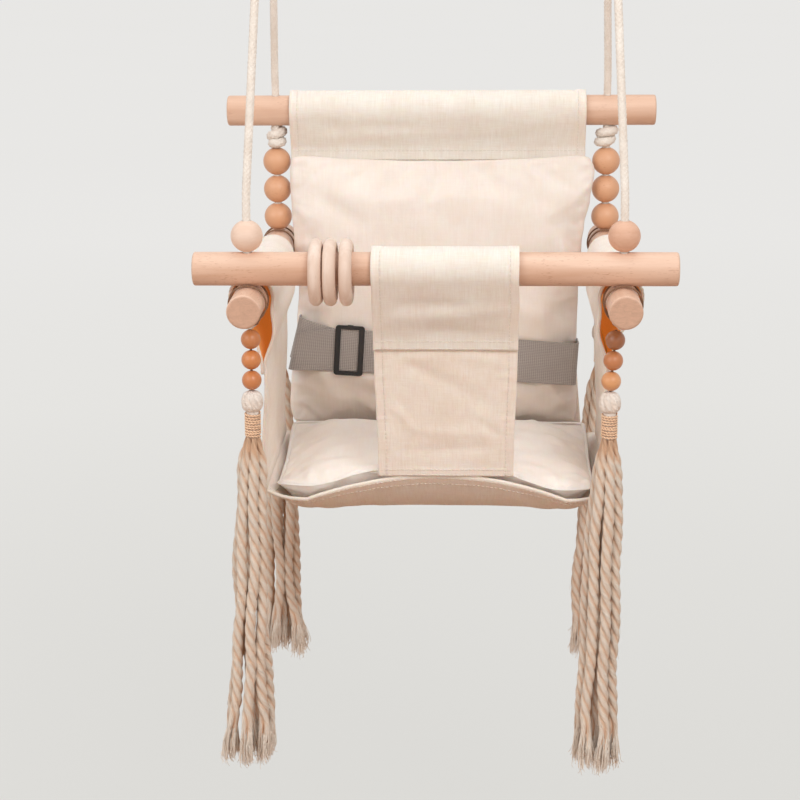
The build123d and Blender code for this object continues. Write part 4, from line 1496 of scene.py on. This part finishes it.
def make_cushion(name, node, halves, heights, pressure, shape, place, material):
    """A pillow puffed up in its flat space, shaped there and taken to the swing.

    The heights are its top, bottom and seam; shape(x, v, d, inner) is where a vertex ends in the
    flat space, inner going from 1 to 0 at the seam.
    """
    def reach(co):
        return reach_of(co.x / halves[0], co.y / halves[1])

    def pinned(co):
        return reach(co) > PINNED_FROM

    pad = make_piece(name, *pillow(*halves, *heights), "seat", "pad_fabric", material)
    inflate(pad, pinned, pressure)
    smooth_mesh(pad.data, pinned)
    for vertex in pad.data.vertices:
        inner = 1 - smoothstep(0.92, 1.0, reach(vertex.co))
        vertex.co = place(*shape(*vertex.co, inner))
    fine = pad.modifiers.new("fine", "SUBSURF")
    fine.levels = fine.render_levels = 1
    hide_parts(node)


def wrinkles(x, v, inner, halves, seed, height, table, gain, inset, reach, gather):
    """A cushion's soft folds, its creases, and the gathers inside its seam."""
    edge = min(halves[0] - abs(x), halves[1] - abs(v))
    return (folds(x, v, seed, height) * inner + gain * creases(x, v, table)
            + pucker(x, v, edge - inset, reach, gather, seed + 3, 130.0, 130.0))


BAND_POINTS = 420
BAND_SIDES = 10
BAND_INSET = 1.2 * MM
BAND_HALVES = (1.9 * MM, 0.75 * MM)  # of its width and thickness


def make_edge_band(name, halves, seam, place, material):
    """A closed flat band round a pad's seam."""
    flat, verts, faces = [], [], []
    for number in range(BAND_POINTS):
        x, v = cos(2 * pi * number / BAND_POINTS), sin(2 * pi * number / BAND_POINTS)
        scale = 1 / reach_of(x, v)
        flat.append(Vector((x * scale * halves[0], v * scale * halves[1], 0)))
    for number, here in enumerate(flat):
        along = (flat[(number + 1) % BAND_POINTS] - flat[number - 1]).normalized()
        out = along.cross(Vector((0, 0, 1)))
        spot = here - out * BAND_INSET
        height = seam(here.x, here.y) + 0.5 * MM * ripple(60 * here.x, 60 * here.y, 2.0)
        centre = place(spot.x, spot.y, height)
        outward = (place(spot.x + out.x * MM, spot.y + out.y * MM, height) - centre).normalized()
        upward = (place(spot.x, spot.y, height + MM) - centre).normalized()
        start, beyond = number * BAND_SIDES, (number + 1) % BAND_POINTS * BAND_SIDES
        for side in range(BAND_SIDES):
            angle, after = 2 * pi * side / BAND_SIDES, (side + 1) % BAND_SIDES
            verts.append(centre + outward * BAND_HALVES[0] * cos(angle)
                         + upward * BAND_HALVES[1] * sin(angle))
            faces.append((start + side, start + after, beyond + after, beyond + side))
    make_piece(name, verts, faces, "seat", "pad_fabric", material)


def between(table, value):
    """A value from a table of (place, value) pairs in mm, in rising places."""
    value /= MM
    for (low, first), (high, second) in zip(table, table[1:]):
        if value <= high:
            break
    share = smoothstep(low, high, value)
    return (first + share * (second - first)) * MM


# The back cushion stands on the seat and leans on the back cloth.
BACK_PAD_LOW, BACK_PAD_HIGH = (Vector(p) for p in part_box("back_pad"))
BELT_Z = FRONT_BAR.z - 128 * MM
BELT_SLOPE = radians(3.5)
BACK_PAD_HALF = 138 * MM
BACK_PAD_LONG = (BACK_PAD_HIGH.z - BACK_PAD_LOW.z) / cos(BACK_LEAN) / 2
BACK_PAD_HALVES = (BACK_PAD_HALF, BACK_PAD_LONG)
BACK_PAD_MOST = 27.4 * MM  # under the belt, and this more elsewhere
BACK_PAD_MORE = 7 * MM
BACK_PAD_SAG = 6 * MM  # of the middle of its top edge
BACK_OUT = Vector((0, -cos(BACK_LEAN), sin(BACK_LEAN)))
BACK_PAD_LEFT = (  # height over the pad's foot and its left edge, in mm
    (0, -145), (19, -145.5), (43, -144), (100, -138), (130, -136), (173, -140), (206, -141.5),
    (234, -142.5), (262, -143.5),
)
BACK_PAD_RIGHT = ((0, 131), (78, 130), (130, 131), (173, 133.5), (191, 136), (215, 141), (243, 145),
                  (258, 142))
BACK_PAD_CREASES = (  # start, end, width and depth in mm, from the pad's middle, up and right
    ((-120, 100), (-64, 62), 9, -2.2), ((30, 110), (112, 84), 11, -1.8),
    ((116, 66), (124, 6), 8, 1.8), ((-108, 44), (-128, 0), 8, 2.0), ((-62, 22), (34, 36), 13, 1.4),
    ((40, -4), (112, -26), 9, 1.8), ((-96, -72), (10, -86), 9, 2.8),
    ((-128, -84), (-20, -104), 8, -2.6), ((60, -66), (122, -98), 9, -2.4),
    ((96, -70), (128, -112), 6, 3.0), ((-116, -64), (-86, -108), 8, 2.4),
    ((-20, 96), (20, 60), 12, -1.2), ((-124, 60), (-96, 20), 6, -1.4),
    ((70, 40), (124, 30), 7, -1.5),
)


def back_pad_place(x, v, d):
    """From the back pad's flat space to the swing: d is off the back cloth's front face."""
    height = BACK_PAD_LOW.z + (v + BACK_PAD_LONG) * cos(BACK_LEAN)
    sag = smoothstep(0, BACK_PAD_LONG, v) * (1 - (x / BACK_PAD_HALF) ** 2)
    left = between(BACK_PAD_LEFT, height - BACK_PAD_LOW.z)
    right = between(BACK_PAD_RIGHT, height - BACK_PAD_LOW.z)
    across = left + (right - left) * (x + BACK_PAD_HALF) / (2 * BACK_PAD_HALF)
    cloth_y = REAR_Y - (REAR_BAR.z - height) * tan(BACK_LEAN)
    return Vector((across, cloth_y, height - BACK_PAD_SAG * sag)) + BACK_OUT * (1.8 * MM + d)


def make_back_pad():
    def seam(x, v):
        return 7 * MM + 0.6 * MM * ripple(50 * x, 50 * v, 4.0)

    def top(_, v):
        return 21 * MM - 3 * MM * smoothstep(60 * MM, 120 * MM, v)

    belt_v = (BELT_Z - BACK_PAD_LOW.z) / cos(BACK_LEAN) - BACK_PAD_LONG

    def shape(x, v, d, inner):
        if d > 8 * MM:
            d += wrinkles(x, v, inner, BACK_PAD_HALVES, 54.0, 5.5 * MM, BACK_PAD_CREASES, 1.5,
                          3 * MM, 12 * MM, 2.2 * MM)
        across = v - belt_v + x * tan(BELT_SLOPE)
        most = BACK_PAD_MOST + BACK_PAD_MORE * smoothstep(17 * MM, 30 * MM, abs(across))
        x = min(max(x, -BACK_PAD_HALF), BACK_PAD_HALF)
        v = min(max(v, -BACK_PAD_LONG), BACK_PAD_LONG)
        return x, v, max(min(d, most - 0.15 * max(0.0, d - most)), 0.3 * MM)

    heights = (top, lambda x, v: 0.6 * MM, seam)
    make_cushion("back_cushion", "back_pad", BACK_PAD_HALVES, heights, 4.0, shape, back_pad_place,
                 pad_back_cloth)


# The seat cushion lies in the seat cloth; its flat space keeps real heights, over a level.
SEAT_PAD_LOW, SEAT_PAD_HIGH = (Vector(p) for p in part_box("seat_pad"))
SEAT_PAD_HALF = 138 * MM
SEAT_PAD_X = -1.5 * MM  # of its middle
SEAT_PAD_LONG = (SEAT_PAD_HIGH.y - SEAT_PAD_LOW.y) / 2
SEAT_PAD_HALVES = (SEAT_PAD_HALF, SEAT_PAD_LONG)
SEAT_PAD_MIDDLE = (SEAT_PAD_HIGH.y + SEAT_PAD_LOW.y) / 2 - SEAT_HEM_Y
SEAT_PAD_LEVEL = -660 * MM
SEAT_PAD_MOST = 48 * MM
SEAT_PAD_CREASES = (  # as the back pad's, back and right
    ((-112, -56), (-58, -24), 10, -2.4), ((72, -50), (118, -66), 9, -2.2),
    ((-74, -6), (-14, 22), 12, 1.8), ((30, 12), (94, -14), 12, 1.8),
    ((-126, -16), (-98, 12), 8, 1.8), ((100, 22), (126, -14), 8, 1.8),
    ((-120, 44), (-30, 56), 9, 2.2), ((-110, 62), (-40, 70), 7, -2.0),
    ((36, 56), (118, 46), 9, 2.0), ((-60, -70), (-84, -20), 8, -1.4),
    ((56, -72), (70, -34), 8, -1.4),
)


def seat_pad_place(x, v, d):
    """From the seat pad's flat space to the swing."""
    return Vector((x + SEAT_PAD_X, SEAT_HEM_Y + v + SEAT_PAD_MIDDLE, SEAT_PAD_LEVEL + d))


def seat_under(x, v):
    """The lowest that the seat pad's skin goes in its flat space: just over the seat cloth."""
    return seat_top(x + SEAT_PAD_X, v + SEAT_PAD_MIDDLE) + 1.0 * MM - SEAT_PAD_LEVEL


def make_seat_pad():
    def seam(x, v):
        front = smoothstep(-50 * MM, -SEAT_PAD_LONG, v)
        raised = 1 - smoothstep(46 * MM, 112 * MM, abs(x + SEAT_PAD_X))
        corner = smoothstep(112 * MM, 136 * MM, abs(x))
        right = smoothstep(30 * MM, 100 * MM, x)
        at_front = (20 + 15 * raised + corner - 3 * right) * MM
        behind = (15 + 15 * smoothstep(0, SEAT_PAD_LONG, v)) * MM
        return max(front * at_front + (1 - front) * behind, seat_under(x, v) + 2 * MM)

    def top(x, v):
        lobe = bump(abs(x), 78 * MM, 52 * MM)
        back = smoothstep(10 * MM, 80 * MM, v)
        left = smoothstep(60 * MM, -100 * MM, x)
        front = smoothstep(-50 * MM, -84 * MM, v)
        return (24 + 5.5 * lobe + (6 * left - 2) * back - 2 * front) * MM

    def shape(x, v, d, inner):
        if d > seam(x, v):
            d += wrinkles(x, v, inner, SEAT_PAD_HALVES, 64.0, 6.0 * MM, SEAT_PAD_CREASES, 1.6,
                          4 * MM, 13 * MM, 2.6 * MM)
            d -= 3.0 * MM * bump(x, CROTCH_MIDDLE, 46 * MM) * smoothstep(-30 * MM, -80 * MM, v)
        return x, v, max(min(d, SEAT_PAD_MOST), seat_under(x, v))

    make_cushion("seat_cushion", "seat_pad", SEAT_PAD_HALVES, (top, seat_under, seam), 4.5, shape,
                 seat_pad_place, pad_seat_cloth_lightened)
    make_edge_band("seat_cushion_edge", SEAT_PAD_HALVES, seam, seat_pad_place, pad_seat_cloth_lightened)


make_back_pad()
make_seat_pad()


# ---- belt and slider ----------------------------------------------------------------------
BELT_WIDTH = 40 * MM
BELT_HALF_THICK = 0.75 * MM
BELT_HALF_X = 134.0 * MM
BELT_MIDDLE = -5.4 * MM
BELT_FRONT = 31.5 * MM  # in front of the back cloth's middle
BELT_BACK = 3.0 * MM  # behind it
BELT_CORNER = 5 * MM
SLIDER_ALONG = (middle("slider_buckle").x - BELT_MIDDLE) / cos(BELT_SLOPE)


def make_webbing():
    """Grey ribbed webbing."""
    m = new_material("webbing")
    here = m.uv("cloth")
    split = m.split(here)
    grid = m.total((m.wave(split[0], 1.9 * MM), 0.5), (m.wave(split[1], 1.5 * MM), 0.5))
    yarns = m.noise(m.scaled(here, (900, 900, 900)), 1.0, 2.0)
    cloud = m.noise(here, 40.0, 3.0)
    tone = m.math("ADD", m.math("MULTIPLY_ADD", grid, 0.28, 0.35),
                  m.total((yarns, 0.25), (cloud, 0.15)))
    colour = m.mix(m.ramp(tone, (0.15, 0.0), (0.9, 1.0)), linear(138, 129, 124),
                   linear(196, 188, 183))
    height = m.math("ADD", grid, yarns)
    return m.surface(colour, 0.72, m.bump(height, 0.5, 0.0005), Sheen_Weight=0.1)


webbing = make_webbing()


def belt_frame():
    """Origin, along, up and back ways of the belt."""
    along = Vector((cos(BELT_SLOPE), 0, -sin(BELT_SLOPE)))
    up = Vector((sin(BELT_SLOPE), sin(BACK_LEAN), cos(BELT_SLOPE))).normalized()
    cloth_y = REAR_Y - (REAR_BAR.z - BELT_Z) * tan(BACK_LEAN)
    return Vector((BELT_MIDDLE, cloth_y, BELT_Z)), along, up, up.cross(along)


def slant(left, share):
    """How far the belt's left end is drawn in at a share of its width, from the lower edge."""
    return left ** 2 * (11.0 * share - 5.5) * MM


def belt_loop(front):
    """The loop round the cushion as (along, back), from the back's middle round by the left."""
    points = [Vector((0, BELT_BACK, 0))]
    for x, y, start in ((-BELT_HALF_X, BELT_BACK, 90), (-BELT_HALF_X, -front, 180),
                        (BELT_HALF_X, -front, 270), (BELT_HALF_X, BELT_BACK, 0)):
        tall = BELT_CORNER * (0.49 if y > 0 else 1.0)
        across, back = x - copysign(BELT_CORNER, x), y - copysign(tall, y)
        for step in range(7):
            angle = radians(start + 15 * step)
            points.append(Vector((across + BELT_CORNER * cos(angle), back + tall * sin(angle), 0)))
    points.append(points[0])
    return resampled(points, MM)


def to_the_left(along, near):
    """0 near the slider and 1 at the belt's left end."""
    return min(max((SLIDER_ALONG - near - along) / (BELT_HALF_X + SLIDER_ALONG), 0.0), 1.0)


def make_belt_part(name, line, height, half_thick, step):
    """Webbing on a line; height(s, w, spot) is (shift along, shift back, way up) at a spot."""
    origin, along, up, back = belt_frame()
    length = (len(line) - 1) * MM

    def place(s, w):
        spot = follow(line, s)
        out, behind, rise = height(s, w, spot)
        return origin + along * (spot.x + out) + back * (spot.y + behind) + up * rise

    cloth = Cloth(place, half_thick, stations(0, length, 1.6 * MM), stations(0, BELT_WIDTH, step))
    return cloth.piece(name, "webbing", webbing)


def make_belt():
    def height(s, w, spot):
        front = smoothstep(0.0, BELT_FRONT * 0.8, -spot.y)
        left = to_the_left(spot.x, 14 * MM)
        share = w / BELT_WIDTH
        drop = left * (3.0 + 5.0 * share) * MM
        wave = 0.5 * MM * ripple(20 * s, 30 * w, 71.0) * front
        return slant(left, share), -wave, w - BELT_WIDTH / 2 - drop

    def half_thick(_, w):
        edge = min(w, BELT_WIDTH - w)
        return BELT_HALF_THICK + 0.12 * MM * (1 - smoothstep(1.2 * MM, 1.8 * MM, edge))

    belt = make_belt_part("waist_belt", belt_loop(BELT_FRONT), height, half_thick, 1.2 * MM)
    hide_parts("belt")


def make_belt_tail():
    """The webbing's second layer, from the slider round the cushion's left edge."""
    loop = belt_loop(BELT_FRONT - 1.9 * MM)
    start = next(i for i, p in enumerate(loop) if p.x < -0.6 * BELT_HALF_X and p.y > 0)
    end = next(i for i, p in enumerate(loop)
               if p.y < -0.5 * BELT_FRONT and p.x > SLIDER_ALONG + 6 * MM)

    def height(s, w, spot):
        left = to_the_left(spot.x, 10 * MM)
        pull = 0.6 * MM * ripple(24 * s, 20 * w, 81.0)
        inside = 1.2 * MM if spot.x < -BELT_HALF_X + BELT_CORNER else 0.0
        rise = (w - BELT_WIDTH / 2) * 0.98 + left * 12.0 * MM - 1.0 * MM
        return inside + slant(left, w / BELT_WIDTH), -0.3 * pull, rise

    make_belt_part("waist_belt_tail", loop[start:end], height, lambda s, w: 0.7 * MM, 1.4 * MM)


def make_plastic():
    """Satin black moulded plastic."""
    m = new_material("black_plastic")
    grain = m.noise(m.place(900), 1.0, 2.0)
    rub = m.noise(m.place(60), 1.0, 4.0)
    colour = m.mix(m.ramp(rub, (0.45, 0.0), (0.75, 1.0)), linear(30, 27, 26), linear(52, 47, 44))
    return m.surface(colour, m.ramp(rub, (0.3, 0.38), (0.7, 0.52)), m.bump(grain, 0.12, 0.0002))


make_belt()
make_belt_tail()
dress("slider_buckle", make_plastic())


# ---- stage --------------------------------------------------------------------------------
FLOOR_Z = -1.16
FLOOR_RADIUS = 40.0
FLOOR_SIDES = 64
STAGE_LIGHT = linear(240, 239, 238)
STAGE_GREY = linear(237, 236, 234)
STAGE_MIDDLE = linear(232, 231, 228)
STAGE_NEAR_SHADE = linear(218, 217, 213)
WORLD_HIGH = (1.0, 0.985, 0.965, 1.0)
WORLD_LOW = (0.34, 0.21, 0.13, 1.0)
BOUNCE = linear(168, 124, 92)  # of the floor under the swing, as its undersides see it
FAR_BOUNCE = linear(232, 226, 220)
WORLD_STRENGTH = 0.69
LAMP_AIM = Vector((0, 0, -0.5))


def seen_share(nodes):
    """1 for the rays that show the stage, to the camera or in gloss and glass, and 0 for light."""
    rays = nodes.add("ShaderNodeLightPath").outputs
    direct = nodes.math("MAXIMUM", rays["Is Camera Ray"], rays["Is Glossy Ray"])
    return nodes.math("MAXIMUM", direct, rays["Is Transmission Ray"])


def make_stage():
    """A wide pale floor that keeps the swing's shadow and gives its undersides a warm bounce."""
    m = new_material("stage")
    seen = seen_share(m)
    split = m.split(m.place())
    out = m.math("SQRT", m.math("ADD", *(m.math("MULTIPLY", part, part) for part in split[:2])))
    far = m.add("ShaderNodeMapRange", {0: out, 1: 0.4, 2: 4.0}).outputs[0]
    drift = m.noise(m.place(), 0.8, 1.0)
    colour = m.mix(drift, STAGE_MIDDLE, STAGE_LIGHT)
    bounce = m.mix(m.ramp(far, (0.2, 0.0), (0.7, 1.0)), BOUNCE, FAR_BOUNCE)
    lit = m.add("ShaderNodeBsdfDiffuse", {0: m.mix(seen, bounce, colour)})
    # Painted shade: the floor, as the camera sees it, darkens towards the swing.
    grey = m.ramp(far, (0.0, STAGE_NEAR_SHADE), (0.5, STAGE_MIDDLE), (1.0, STAGE_GREY))
    shown = m.add("ShaderNodeEmission", {0: grey, 1: 1.0})
    shader = m.add("ShaderNodeMixShader", {0: m.math("MULTIPLY", seen, 0.85), 1: lit.outputs[0],
                                           2: shown.outputs[0]})
    material = m.finish(shader.outputs[0])
    angles = [2 * pi * number / FLOOR_SIDES for number in range(FLOOR_SIDES)]
    verts = [polar(FLOOR_RADIUS, angle, FLOOR_Z) for angle in angles]
    make_piece("floor", verts, [tuple(range(FLOOR_SIDES))], None, None, material)


def make_light(name, place, width, height, power):
    """A soft area light, aimed at the swing's middle."""
    data = bpy.data.lights.new(name, "AREA")
    data.shape = "RECTANGLE"
    data.size, data.size_y, data.energy = width, height, power
    lamp = bpy.data.objects.new(name, data)
    lamp.location = place
    lamp.rotation_euler = (LAMP_AIM - Vector(place)).to_track_quat("-Z", "Y").to_euler()
    bpy.context.scene.collection.objects.link(lamp)


def make_world():
    """Soft light from all round, white above and warm below; seen, it is the stage's grey."""
    world = bpy.data.worlds.new("world")
    bpy.context.scene.world = world
    m = Nodes(world)
    height = m.split(m.add("ShaderNodeTexCoord").outputs["Generated"])[2]
    share = m.add("ShaderNodeMapRange", {0: height, 1: -1.0, 2: 1.0}).outputs[0]
    light = m.add("ShaderNodeBackground", {0: m.ramp(share, (0.36, WORLD_LOW), (0.52, WORLD_HIGH)),
                                           1: WORLD_STRENGTH})
    shown = m.add("ShaderNodeBackground", {0: STAGE_GREY, 1: 1.0})
    both = m.add("ShaderNodeMixShader",
                 {0: seen_share(m), 1: light.outputs[0], 2: shown.outputs[0]})
    m.add("ShaderNodeOutputWorld", {0: both.outputs[0]})


make_stage()
make_world()
make_light("key", (0.9, -2.1, 1.1), 1.1, 1.1, 25)
make_light("fill", (-1.7, -1.7, 0.6), 1.5, 1.5, 16)
make_light("top", (0.1, 0.2, 1.7), 1.6, 1.2, 9)
bpy.context.scene.view_settings.view_transform = "Standard"
